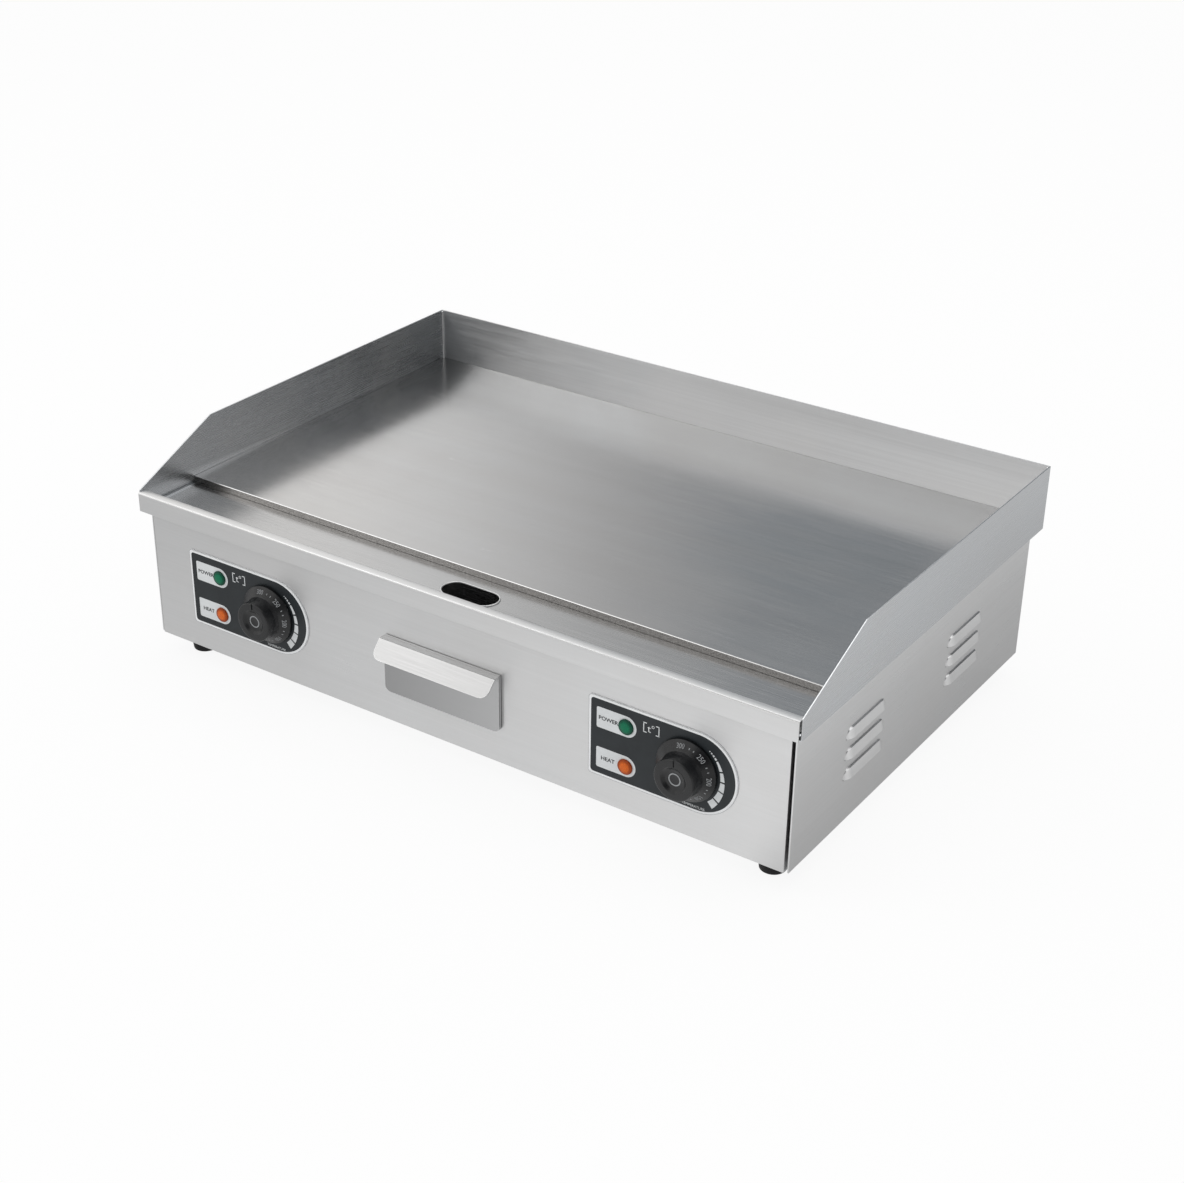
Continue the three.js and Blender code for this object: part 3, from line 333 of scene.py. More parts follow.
finishes = {
    # the stainless sheets differ in tone from panel to panel: lighter and darker copies of one steel, as painted
    # light and shade
    "front": steelMaterial("brushed steel of the front", "X", 0.64, 0.32, grain=0.35, band=0.02),
    "lip": steelMaterial("brushed steel of the lip, lighter as painted light", "X", 0.66, 0.32, grain=0.35, band=0.02),
    "pan": steelMaterial("brushed steel of the trough", "X", 0.5, 0.2, grain=0.3, aniso=0.3, band=0.02),
    "splash": steelMaterial("brushed steel of the rear guard", "X", 0.66, 0.34, grain=0.7, cool=0.014, aniso=0.7),
    "guard": steelMaterial("brushed steel of the side guards", "Y", 0.6, 0.24, grain=0.25, aniso=0.5, cool=0.03,
                           band=0.02),
    "side": steelMaterial("brushed steel of the side panels", "Y", 0.68, 0.3, grain=0.35, band=0.02),
    "handle": handleMaterial(),
    "weld": steelMaterial("weld bead", "Z", 0.62, 0.5, grain=0.4, aniso=0.0),
    "plate": plateMaterial(),
    "zinc": metalMaterial("zinc plate", (0.6, 0.61, 0.62), 0.42, 0.2),
    "rubber": plasticMaterial("foot rubber", (0.008, 0.008, 0.009), 0.65, bump=0.15, specular=0.3),
    "labelSilver": plasticMaterial("label border", (0.86, 0.87, 0.88), 0.35, 0.03, 0.02),
    "labelBlack": plasticMaterial("label film", (0.020, 0.024, 0.027), 0.38, 0.12, 0.02, 0.25),
    "printLight": plasticMaterial("light print", (0.7, 0.72, 0.73), 0.5, 0.04, 0.02),
    "printDark": plasticMaterial("dark print", (0.02, 0.022, 0.025), 0.5, 0.1, 0.02, 0.2),
    "edgeLine": plasticMaterial("label edge line", (0.3, 0.31, 0.32), 0.45, 0.05, 0.02),
    "knob": plasticMaterial("knob", (0.0055, 0.006, 0.007), 0.3, 0.2, 0.04, 0.45),
    "dialPrint": plasticMaterial("dial print", (0.3, 0.31, 0.32), 0.5, 0.05, 0.02),
    "greenLens": lensMaterial("green lens", (0.0, 0.06, 0.034), (0.0, 0.17, 0.08)),
    "orangeLens": lensMaterial("orange lens", (0.3, 0.045, 0.003), (0.72, 0.14, 0.014)),
    "white": plasticMaterial("white moulding", (0.72, 0.71, 0.67), 0.5, 0.05),
    "black": plasticMaterial("black moulding", (0.02, 0.02, 0.022), 0.4, bump=0.1),
    "sheath": metalMaterial("element sheath", (0.26, 0.22, 0.19), 0.55, 0.4),
    "copper": metalMaterial("copper tube", (0.72, 0.4, 0.25), 0.35, 0.25),
    "brass": metalMaterial("turned brass", (0.75, 0.58, 0.28), 0.32, 0.2),
    "wool": woolMaterial(),
    "sleeve": plasticMaterial("wire sleeve", (0.06, 0.06, 0.065), 0.6),
}
slots = {
    "plate": "ground_steel", "zinc": "zinc_steel", "rubber": "foot_rubber", "greenLens": "green_lens",
    "orangeLens": "orange_lens", "knob": "black_plastic", "dialPrint": "black_plastic", "black": "black_plastic",
    **dict.fromkeys(("labelSilver", "labelBlack", "printLight", "printDark", "edgeLine"), "label_film"),
}
print("materials built")


# mesh helpers

def gridFaces(rows, columns, closeRows=False, closeColumns=False):
    # quads between neighbours of a grid whose points are stored row by row
    row = np.arange(rows if closeRows else rows - 1)[:, None]
    column = np.arange(columns if closeColumns else columns - 1)[None, :]
    nextRow = (row + 1) % rows
    nextColumn = (column + 1) % columns
    corners = [row * columns + column, row * columns + nextColumn,
               nextRow * columns + nextColumn, nextRow * columns + column]
    return np.stack([np.broadcast_to(corner, (len(row), column.shape[1])) for corner in corners], -1).reshape(-1, 4)


def joinParts(parts):
    # parts of (points, faces) as one: the faces of each count from its own first point
    points = []
    faces = []
    total = 0
    for places, ownFaces in parts:
        points.append(places)
        faces += [[index + total for index in face] for face in ownFaces]
        total += len(places)
    return np.concatenate(points), faces


def turnAngles(steps):
    return np.arange(steps) * 2 * math.pi / steps


def roundFall(share):
    # how far a quarter circle of radius 1 has fallen at a share of its reach: 1 - sqrt(1 - (1 - share)^2)
    return 1 - np.sqrt(1 - (1 - share) ** 2)


def roundedPath(corners, steps=6):
    # a line through corners of (u, v, radius), each turned on an arc of that radius:
    # middle + out * cos(a) + along * sin(a), where a runs over the turn
    places = np.array([corner[:2] for corner in corners], float)
    least = 1e-3
    points = [places[:1]]
    for at in range(1, len(corners) - 1):
        back = places[at - 1] - places[at]
        ahead = places[at + 1] - places[at]
        back /= np.linalg.norm(back)
        ahead /= np.linalg.norm(ahead)
        radius = corners[at][2]
        half = math.acos(np.clip(back @ ahead, -1, 1)) / 2
        if radius <= 0 or half < least or abs(half - math.pi / 2) < least:
            points.append(places[at][None])
            continue
        middle = places[at] + (back + ahead) / np.linalg.norm(back + ahead) * radius / math.sin(half)
        out = places[at] + back * radius / math.tan(half) - middle
        angle = np.linspace(0, math.pi - 2 * half, steps + 1)[:, None]
        points.append(middle + out * np.cos(angle) - back * radius * np.sin(angle))
    points.append(places[-1:])
    return np.concatenate(points)


def roundedLoop(corners, steps=8):
    # a closed outline from corners of (u, v, radius)
    path = roundedPath([corners[-1], *corners, corners[0]], steps)[1:-1]
    return path[np.linalg.norm(path - np.roll(path, 1, 0), axis=1) > 1e-7]


def roundedBox(low, high, inset, lower, upper, steps):
    # a box's outline in x and z, inset, from the radii (left, right) of its lower and of its upper corners
    left, right = low.x + inset, high.x - inset
    bottom, top = low.z + inset, high.z - inset
    return roundedLoop([(left, bottom, lower[0]), (right, bottom, lower[1]), (right, top, upper[1]),
                        (left, top, upper[0])], steps)


def standing(outline, y):
    # an outline of (x, z) as points at y
    return np.stack([outline[:, 0], np.full(len(outline), y), outline[:, 1]], -1)


@contextlib.contextmanager
def editing(mesh):
    work = bmesh.new()
    work.from_mesh(mesh)
    yield work
    work.to_mesh(mesh)
    work.free()


def addObject(name, data):
    holder = bpy.data.objects.new(name, data)
    bpy.context.scene.collection.objects.link(holder)
    return holder


def shadeSmooth(mesh, angle):
    mesh.shade_smooth()
    mesh.set_sharp_from_angle(angle=math.radians(angle))


def putMesh(name, points, faces, smooth=35, merge=True):
    mesh = bpy.data.meshes.new(name)
    mesh.from_pydata(np.asarray(points, float).reshape(-1, 3).tolist(), [], [list(map(int, face)) for face in faces])
    if merge:
        with editing(mesh) as work:
            bmesh.ops.remove_doubles(work, verts=work.verts, dist=1e-7)
            bmesh.ops.dissolve_degenerate(work, edges=work.edges, dist=1e-7)
    shadeSmooth(mesh, smooth)
    return addObject(name, mesh)


def closedPiece(name, points, faces, smooth=35, merge=True):
    # a closed mesh whose faces are turned outwards
    piece = putMesh(name, points, faces, smooth, merge)
    with editing(piece.data) as work:
        bmesh.ops.recalc_face_normals(work, faces=work.faces)
    return piece


def addModifier(piece, kind, **settings):
    modifier = piece.modifiers.new(kind.lower(), kind)
    for name, value in settings.items():
        setattr(modifier, name, value)


def addBevel(piece, width, angle=40):
    addModifier(piece, "BEVEL", width=width, segments=2, limit_method="ANGLE", angle_limit=math.radians(angle),
                harden_normals=True)


def printPiece(name, points, faces, thickness, merge=False):
    # loose faces turned to the front and thickened backwards
    piece = putMesh(name, points, faces, merge=merge)
    with editing(piece.data) as work:
        work.normal_update()
        bmesh.ops.reverse_faces(work, faces=[face for face in work.faces if face.normal.y > 0])
    addModifier(piece, "SOLIDIFY", thickness=thickness, offset=-1)
    return piece


def dress(piece, finish, body="griddle", replaced=()):
    piece.data.materials.clear()
    piece.data.materials.append(finishes[finish])
    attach(piece, body)
    if replaced:
        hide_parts(*replaced)


def middleOf(node):
    return np.array([(start + end) / 2 for start, end in zip(*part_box(node))])


def turnedPoints(profile, angles, center, axis):
    # a profile of (radius, height) carried round an axis through center:
    # radius * cos(a), radius * sin(a) across it and height along it
    height = np.broadcast_to(profile[:, 1][None, :], (len(angles), len(profile)))
    across = profile[:, 0][None, :] * np.cos(angles)[:, None]
    up = profile[:, 0][None, :] * np.sin(angles)[:, None]
    order = {"front": (across, -height, up), "rear": (across, height, up), "up": (across, up, height)}
    return np.stack(order[axis], -1) + np.asarray(center, float)


def turnedPiece(name, profile, center, axis, steps=64, smooth=35):
    faces = gridFaces(steps, len(profile), closeRows=True)
    if axis == "front":
        faces = faces[:, ::-1]
    return closedPiece(name, turnedPoints(profile, turnAngles(steps), center, axis), faces, smooth)


def flatPiece(name, outlines, frontY, thickness):
    # closed plates that stand in the XZ plane: each outline of (x, z) is given a front, a back and sides
    parts = []
    for outline in outlines:
        count = len(outline)
        ring = np.arange(count)
        after = (ring + 1) % count
        walls = np.stack([after, ring, ring + count, after + count], -1)
        points = np.concatenate([standing(outline, frontY), standing(outline, frontY + thickness)])
        parts.append((points, [ring, ring[::-1] + count, *walls]))
    return closedPiece(name, *joinParts(parts), merge=False)


def softenedCopy(node, finish, body="griddle", width=0.0003, smooth=40):
    # a rigid node's own shape with its doubles merged, flat faces joined and edges rounded
    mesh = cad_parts[node].data.copy()
    with editing(mesh) as work:
        bmesh.ops.remove_doubles(work, verts=work.verts, dist=1e-6)
        bmesh.ops.dissolve_limit(work, angle_limit=math.radians(0.5), verts=work.verts, edges=work.edges)
    for name in [layer.name for layer in mesh.uv_layers]:
        mesh.uv_layers.remove(mesh.uv_layers[name])
    shadeSmooth(mesh, smooth)
    piece = addObject(f"{node}_sheet", mesh)
    addBevel(piece, width, smooth)
    dress(piece, finish, body, [node])


# cooking plate, pan and cabinet

softened = {
    "griddle_plate": ("plate", 0.0002),
    "trough": ("pan", 0.0003),
    "drip_chute": ("pan", 0.0002),
    "left_splash_guard": ("guard", 0.00035),
    "right_splash_guard": ("guard", 0.00035),
    "rear_splash_guard": ("splash", 0.00035),
    "front_panel": ("front", 0.0004),
    "rear_panel": ("front", 0.00035),
    "base_plate": ("zinc", 0.0003),
}
for node, (finish, width) in softened.items():
    softenedCopy(node, finish, width=width)
# the trough's front face and the top of its lip have a finish of their own: rougher, and lighter in tone than the
# trough as painted light
lip = dict(down=0.0005, back=0.0003)
lipLow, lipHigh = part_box("trough")
lipMesh = bpy.data.objects["trough_sheet"].data
lipMesh.materials.append(finishes["lip"])
for polygon in lipMesh.polygons:
    onTop = polygon.center.z > lipHigh.z - lip["down"]
    polygon.material_index = int(onTop or polygon.center.y < lipLow.y + lip["back"])
print("pan and cabinet softened")


def weldBead(side):
    # a bead down the inner corner of the side and rear guards: radius * (1 + ripple * sin(waves * height)) round an
    # upright axis in that corner, drawn in to nothing at its top
    bead = dict(radius=0.0013, ripple=0.12, pitch=0.0021, wall=0.0015, inset=0.0006, sink=0.0005, below=0.0004,
                tip=0.0012, rows=180)
    guardLow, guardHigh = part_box(f"{side}_splash_guard")
    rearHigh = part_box("rear_splash_guard")[1]
    sign = sides[side]
    innerX = (guardHigh.x if sign > 0 else -guardLow.x) - bead["wall"] - bead["inset"]
    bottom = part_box("griddle_plate")[1].z - bead["sink"]
    height = np.linspace(0, rearHigh.z - bead["below"] - bottom, bead["rows"])
    swell = bead["radius"] * (1 + bead["ripple"] * np.sin(height * 2 * math.pi / bead["pitch"]))
    swell *= np.clip((height[-1] - height) / bead["tip"], 0, 1) ** 0.5
    profile = np.concatenate([[[0, 0]], np.stack([swell, height], -1)])
    center = (sign * innerX, rearHigh.y - bead["wall"] - bead["inset"], bottom)
    dress(turnedPiece(f"{side}_weld_bead", profile, center, "up", 20, 60), "weld")


def slotRim():
    # a rolled rim round the drip slot: a circle carried round an oblong with round ends
    rim = dict(center=0.0037, setback=0.045, halfLength=0.0295, radius=0.0135, wire=0.00075, out=0.0003, sink=0.0003,
               floorDrop=0.0068)
    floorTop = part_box("griddle_plate")[1].z - rim["floorDrop"]
    turn = np.linspace(-math.pi / 2, math.pi / 2, 40)
    end = np.stack([np.cos(turn), np.sin(turn)], -1)
    right = end * (rim["radius"] + rim["out"]) + (rim["halfLength"] - rim["radius"], 0)
    path = np.concatenate([right, -right])
    out = np.concatenate([end, -end])
    angle = turnAngles(16)
    across = rim["wire"] * np.cos(angle)
    points = np.empty((len(path), len(angle), 3))
    points[..., 0] = rim["center"] + path[:, :1] + out[:, :1] * across
    points[..., 1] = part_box("trough")[0].y + rim["setback"] + path[:, 1:] + out[:, 1:] * across
    points[..., 2] = floorTop + rim["wire"] - rim["sink"] + rim["wire"] * np.sin(angle)
    dress(closedPiece("drip_slot_rim", points, gridFaces(len(path), len(angle), True, True), 60), "weld")


slotRim()
for side in sides:
    weldBead(side)
print("weld beads and slot rim")


def louvreHoods(louvre, middles, bottoms, sign, face):
    # each louvre is a hood: out(u, v) = depth * ends(u) * rise(v), steep at first and then an even slope, over an
    # outline with round ends, which starts a little behind the panel's face
    half = louvre["length"] / 2
    shoulder, shoulderEnd, behind = louvre["shoulder"], louvre["shoulderEnd"], louvre["behind"]
    u = np.linspace(-1, 1, 57)
    fromEnd = np.clip((1 - abs(u)) * half / louvre["corner"], 0, 1)
    top = louvre["height"] - louvre["corner"] * roundFall(fromEnd)
    swell = np.sin(fromEnd * math.pi / 2) ** 0.6
    v = np.concatenate([np.linspace(0, shoulderEnd, 7), np.linspace(shoulderEnd, 1, 7)[1:]])
    steep = shoulder * np.clip(v / shoulderEnd, 0, 1)
    out = steep + (1 - shoulder) * np.clip((v - shoulderEnd) / (1 - shoulderEnd), 0, 1)
    outward = face - behind + (louvre["depth"] + behind) * swell[:, None] * out[None, :]
    faces = gridFaces(len(u), len(v))[:, ::-1]
    for middle in middles:
        for bottom in bottoms:
            along = np.broadcast_to((middle + u * half)[:, None], outward.shape)
            up = bottom + np.maximum(top, louvre["leastHeight"])[:, None] * (1 - v)[None, :]
            yield np.stack([sign * outward, along, up], -1).reshape(-1, 3), faces


def sidePanel(side):
    # P(y, s): s runs up the panel's face, round its upper bend and in along the flange; the front edge is a plain
    # sheet edge beside the front panel. The cells over each louvre's slit and its open front end are left out
    louvre = dict(length=0.068, height=0.009, depth=0.0039, corner=0.0075, pitch=0.0203, rows=3, rise=0.094,
                  frontInset=0.1231, rearInset=0.1376, wall=0.0013, flange=0.018, bend=0.0015, shoulder=0.55,
                  shoulderEnd=0.1, slitDrop=0.0007, endSlit=0.0045, endReach=0.0012, behind=0.0002,
                  leastHeight=0.0004, clear=0.0001, slitShare=0.6)
    sign = sides[side]
    low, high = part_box(f"{side}_side_panel")
    face = (high.x if sign > 0 else -low.x) - louvre["depth"] - louvre["clear"]
    half = louvre["length"] / 2
    bend = louvre["bend"]
    middles = [low.y + louvre["frontInset"], high.y - louvre["rearInset"]]
    bottoms = [low.z + louvre["rise"] - louvre["height"] - row * louvre["pitch"] for row in range(louvre["rows"])]
    slitHalf = half - louvre["corner"] * 0.5
    slitHeight = louvre["height"] * louvre["slitShare"]
    slitDrop, endSlit, endHalf = louvre["slitDrop"], louvre["endSlit"], half + louvre["endReach"]
    flangeInset = louvre["flange"] + sheet
    yLines = [low.y, low.y + flangeInset, high.y - flangeInset, high.y]
    zLines = [low.z]
    for middle in middles:
        yLines += [middle - half - louvre["endReach"], middle - slitHalf, middle + slitHalf]
    for bottom in bottoms:
        zLines += [bottom - slitDrop, bottom + endSlit, bottom + slitHeight]
    rise = np.array(sorted(zLines) + [high.z - bend])
    turn = np.linspace(0, math.pi / 2, 6)[1:]
    inward = np.concatenate([np.zeros(len(rise)), bend * (1 - np.cos(turn)), [louvre["flange"]]])
    level = np.concatenate([rise, high.z - bend + bend * np.sin(turn), [high.z]])
    y = np.broadcast_to(np.array(sorted(yLines))[:, None], (len(yLines), len(level)))
    points = np.stack([sign * (face - np.broadcast_to(inward, y.shape)), y, np.broadcast_to(level, y.shape)], -1)
    faces = gridFaces(*y.shape)
    centers = points.reshape(-1, 3)[faces].mean(1)
    keep = np.ones(len(faces), bool)
    for middle in middles:
        for bottom in bottoms:
            above = centers[:, 2] > bottom - slitDrop
            inSlit = (abs(centers[:, 1] - middle) < slitHalf) & (centers[:, 2] < bottom + slitHeight)
            fromMiddle = middle - centers[:, 1]
            atFront = (fromMiddle > slitHalf) & (fromMiddle < endHalf)
            keep &= ~(above & (inSlit | (atFront & (centers[:, 2] < bottom + endSlit))))
    atEnd = (centers[:, 1] < low.y + flangeInset) | (centers[:, 1] > high.y - flangeInset)
    keep &= ~(atEnd & (abs(centers[:, 0]) < face - bend * 0.5))
    hoods = louvreHoods(louvre, middles, bottoms, sign, face)
    allPoints, allFaces = joinParts([(points.reshape(-1, 3), faces[keep]), *hoods])
    allFaces = np.array(allFaces)[:, ::sign]
    piece = putMesh(f"{side}_side_panel_sheet", allPoints, allFaces)
    addModifier(piece, "SOLIDIFY", thickness=louvre["wall"], offset=-1)
    addBevel(piece, 0.0002)
    dress(piece, "side", "griddle", [f"{side}_side_panel"])


for side in sides:
    sidePanel(side)
print("side panels and louvres")


# feet

def footPiece(corner):
    foot = dict(bottomRadius=0.012, topRadius=0.015, recess=0.0065, recessDepth=0.010, hole=0.0026, edge=0.0012)
    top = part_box(f"{corner}_foot")[1].z
    hole, recess, depth, edge = foot["hole"], foot["recess"], foot["recessDepth"], foot["edge"]
    profile = roundedPath([(hole, depth, 0), (recess, depth, edge * 0.3), (recess, 0, edge * 0.4),
                           (foot["bottomRadius"], 0, edge), (foot["topRadius"], top, edge * 0.5), (hole, top, 0),
                           (hole, depth, 0)], 5)
    center = middleOf(f"{corner}_foot") * (1, 1, 0)
    dress(turnedPiece(f"{corner}_foot_moulding", profile, center, "up", 72), "rubber", "griddle", [f"{corner}_foot"])


corners = ["front_left", "front_right", "rear_left", "rear_right"]
for corner in corners:
    footPiece(corner)
print("feet")


# control labels and their print

label = dict(border=0.0026, corner=0.003, plateCorner=0.004, film=0.00006, lineInset=0.0002, lineWidth=0.0003,
             bevel=0.00025)
words = dict(size=0.0053, wide=1.08, left=0.0183, bold=0.00011, bracket=0.0080, sign=0.0105, under=0.0033,
             underWide=1.05, toRight=0.0068, below=0.0340, signLeft=0.0366, signUp=0.0255)
bracket = dict(tall=0.56, out=0.95, foot=0.38, stroke=0.11, lap=0.065)
pill = dict(left=0.0302, radius=0.01015, corner=0.0016)
scaleBars = dict(
    inner=0.0320, outerStart=0.0328, outerEnd=0.0391,
    spans=[(-50, -37.5), (-35, -19.5), (-17.3, -3), (-0.5, 13.5), (16, 32), (34, 38), (39.7, 43), (44.7, 47.5),
           (49.2, 51)],
)
indexDot = dict(angle=185.5, reach=0.0307, radius=0.0008, steps=20)


def labelOutline(low, high, inset, corner):
    radius = (high.z - low.z) / 2 - inset
    return roundedBox(low, high, inset, (corner, radius), (corner, radius), 24)


def arcBand(center, inner, outer, angles):
    # a ring segment: both arcs are center + radius * (cos, sin)
    ring = np.stack([np.cos(angles), np.sin(angles)], -1)
    innerArc, outerArc = (center + ring * np.broadcast_to(radius, len(angles))[:, None] for radius in (inner, outer))
    return np.concatenate([outerArc, innerArc[::-1]])


def strokeOutline(points, width):
    # a line of constant width: each point moved to both sides along its normal
    points = np.asarray(points, float)
    slope = np.gradient(points, axis=0)
    slope /= np.linalg.norm(slope, axis=1)[:, None]
    normal = np.stack([-slope[:, 1], slope[:, 0]], -1) * width / 2
    return np.concatenate([points + normal, (points - normal)[::-1]])


def vertexPlaces(mesh):
    places = np.empty(len(mesh.vertices) * 3)
    mesh.vertices.foreach_get("co", places)
    return places.reshape(-1, 3)


def textOutline(text, size, bold=0.0):
    # flat letters as points and faces in the text's own plane, with their middle at its origin
    curve = bpy.data.curves.new("figures", "FONT")
    settings = dict(body=text, size=size, align_x="CENTER", offset=bold, resolution_u=3)
    for name, value in settings.items():
        setattr(curve, name, value)
    holder = addObject("figures", curve)
    depsgraph = bpy.context.evaluated_depsgraph_get()
    mesh = bpy.data.meshes.new_from_object(holder.evaluated_get(depsgraph))
    places = vertexPlaces(mesh)[:, :2] - (0, size * 0.35)
    faces = [list(polygon.vertices) for polygon in mesh.polygons]
    bpy.data.objects.remove(holder)
    bpy.data.curves.remove(curve)
    bpy.data.meshes.remove(mesh)
    return places, faces


def printedText(name, lines, frontY, thickness):
    # words laid flat on a label: each line is (words, size, place, share of its usual width, extra boldness)
    parts = []
    for line, size, place, wide, bold in lines:
        flat, faces = textOutline(line, size, bold)
        parts.append((standing(flat * (wide, 1.0) + place, frontY), faces))
    return printPiece(name, *joinParts(parts), thickness)


def bracketSign(center, size):
    # a pair of square brackets for the temperature sign
    x, z = center
    tall, stroke = size * bracket["tall"], size * bracket["stroke"]
    marks = []
    for sign in (-1, 1):
        outer = x + sign * size * bracket["out"]
        inner = outer - sign * size * bracket["foot"]
        marks.append(strokeOutline([(outer, z - tall), (outer, z + tall)], stroke))
        for level in (z - tall, z + tall):
            marks.append(strokeOutline([(inner, level), (outer + sign * size * bracket["lap"], level)], stroke))
    return marks


def labelPieces(side):
    low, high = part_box(f"{side}_control_label")
    dial = middleOf(f"{side}_knob")[[0, 2]]
    lamps = [middleOf(f"{side}_{lamp}_lamp_lens")[[0, 2]] for lamp in ("power", "heat")]
    film, corner, face = label["film"], label["corner"], low.y
    plate = flatPiece(f"{side}_label_plate", [labelOutline(low, high, 0.0, label["plateCorner"])], face,
                      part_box("front_panel")[0].y - face)
    addBevel(plate, label["bevel"])
    dress(plate, "labelSilver", "griddle", [f"{side}_control_label"])
    loops = [labelOutline(low, high, inset, corner)
             for inset in (label["lineInset"], label["lineInset"] + label["lineWidth"])]
    lineFaces = gridFaces(2, len(loops[0]), closeColumns=True)
    dress(printPiece(f"{side}_label_line", standing(np.concatenate(loops), face - film), lineFaces, film, True),
          "edgeLine")
    dress(flatPiece(f"{side}_label_film", [labelOutline(low, high, label["border"], corner)], face - film, film),
          "labelBlack")
    # light print: a field for each lamp's word, the growing bars of the scale, the index dot and the brackets
    light = []
    radius, square, left = pill["radius"], pill["corner"], pill["left"]
    almost = radius * 0.999
    for x, z in lamps:
        light.append(roundedLoop([(x - left, z - radius, square), (x + radius, z - radius, almost),
                                  (x + radius, z + radius, almost), (x - left, z + radius, square)], 20))
    lowest, highest = scaleBars["spans"][0][0], scaleBars["spans"][-1][1]
    for first, last in scaleBars["spans"]:
        angles = np.linspace(first, last, 10)
        share = (highest - angles) / (highest - lowest)
        outer = scaleBars["outerStart"] + (scaleBars["outerEnd"] - scaleBars["outerStart"]) * share
        light.append(arcBand(dial, scaleBars["inner"], outer, np.radians(angles)))
    around = np.linspace(0, 2 * math.pi, indexDot["steps"] + 1)[:-1]
    index = math.radians(indexDot["angle"])
    ring = np.stack([np.cos(around), np.sin(around)], -1)
    light.append(dial + indexDot["reach"] * np.array([math.cos(index), math.sin(index)]) + indexDot["radius"] * ring)
    sign = (dial[0] - words["signLeft"], dial[1] + words["signUp"])
    light += bracketSign(sign, words["bracket"])
    dress(flatPiece(f"{side}_label_print", light, face - 2 * film, film), "printLight")
    under = (dial[0] + words["toRight"], dial[1] - words["below"])
    small = [("t\u00b0", words["sign"], sign, 1.0, 0.0),
             ("TEMPERATURE", words["under"], under, words["underWide"], 0.0)]
    dress(printedText(f"{side}_label_figures", small, face - 2 * film, film), "printLight")
    names = [(name, words["size"], (x - words["left"], z), words["wide"], words["bold"])
             for name, (x, z) in zip(("POWER", "HEAT"), lamps)]
    dress(printedText(f"{side}_label_words", names, face - 3 * film, film), "printDark")


# lamps

def lampPiece(side, lamp):
    # a lens with a stem: its dome rises on a quarter ellipse from a short upright skirt
    lens = dict(radius=0.0074, height=0.0026, stem=0.004, stemLength=0.007, skirt=0.62, dome=0.8)
    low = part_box(f"{side}_{lamp}_lamp_lens")[0]
    center = middleOf(f"{side}_{lamp}_lamp_lens")
    center[1] = low.y + lens["height"]
    radius, height, stem, below = lens["radius"], lens["height"], lens["stem"], -lens["stemLength"]
    domeRadius, skirtTop = radius * lens["dome"], height * lens["skirt"]
    rise = np.linspace(0, math.pi / 2, 12)
    dome = np.stack([domeRadius * np.cos(rise), skirtTop + height * (1 - lens["skirt"]) * np.sin(rise)], -1)
    skirt = roundedPath([(0, below, 0), (stem, below, 0.0004), (stem, 0, 0), (radius, 0, 0.0002),
                         (radius, skirtTop, 0.0007), (domeRadius, skirtTop, 0)], 5)
    profile = np.concatenate([skirt, dome[1:]])
    profile[-1, 0] = 0
    piece = turnedPiece(f"{side}_{lamp}_lens_moulding", profile, center, "front", 64, 50)
    # the middle attribute carries the lens's painted light: 1 at its middle, falling to 0 at its rim
    places = vertexPlaces(piece.data)
    away = np.hypot(places[:, 0] - center[0], places[:, 2] - center[2]) / radius
    middle = piece.data.attributes.new("middle", "FLOAT", "POINT")
    middle.data.foreach_set("value", np.clip(1 - away, 0, 1))
    finish = "greenLens" if lamp == "power" else "orangeLens"
    dress(piece, finish, "griddle", [f"{side}_{lamp}_lamp_lens"])


# knobs with their dials

knob = dict(dial=0.0294, rim=0.003, coneRadius=0.0208, coneHeight=0.0085, grip=0.0195, gripRise=0.004,
            gripFlare=0.0004, height=0.022, edge=0.0012, recess=0.0128, recessDepth=0.0023, dish=0.0094,
            groove=0.0008, grooveDepth=0.0008, grooveIn=0.0134, grooveEdge=0.012, bore=0.0033, boreDepth=0.0133,
            ringOuter=0.0060, ringInner=0.0049, ringLift=0.00015, ringThick=0.0002, steps=120)


def knobProfile():
    # radius and height of the knob's section, from its bore round the dial and grip to the dished face
    height, cone, grip, bore, depth = (knob[name] for name in ("height", "coneHeight", "grip", "bore", "boreDepth"))
    floor = height - knob["recessDepth"]
    dishStart = knob["recess"] - 0.0002
    turn = np.linspace(0, math.pi / 2, 9)
    dish = np.stack([dishStart - (dishStart - knob["dish"]) * np.sin(turn),
                     floor + (knob["recessDepth"] - 0.0001) * (1 - np.sin(turn)) * np.cos(turn / 2)], -1)
    outer = roundedPath([
        (0, depth, 0), (bore, depth, 0), (bore, 0, 0), (knob["dial"], 0, 0.0004), (knob["dial"], knob["rim"], 0.0007),
        (knob["coneRadius"], cone, 0.0008), (grip + knob["gripFlare"], cone + knob["gripRise"], 0.002),
        (grip, height, knob["edge"]), (grip * 0.82, height, 0), (knob["grooveIn"], height, 0),
        (knob["recess"], height, 0),
    ], 4)
    return np.concatenate([outer, dish, [[0, floor]]])


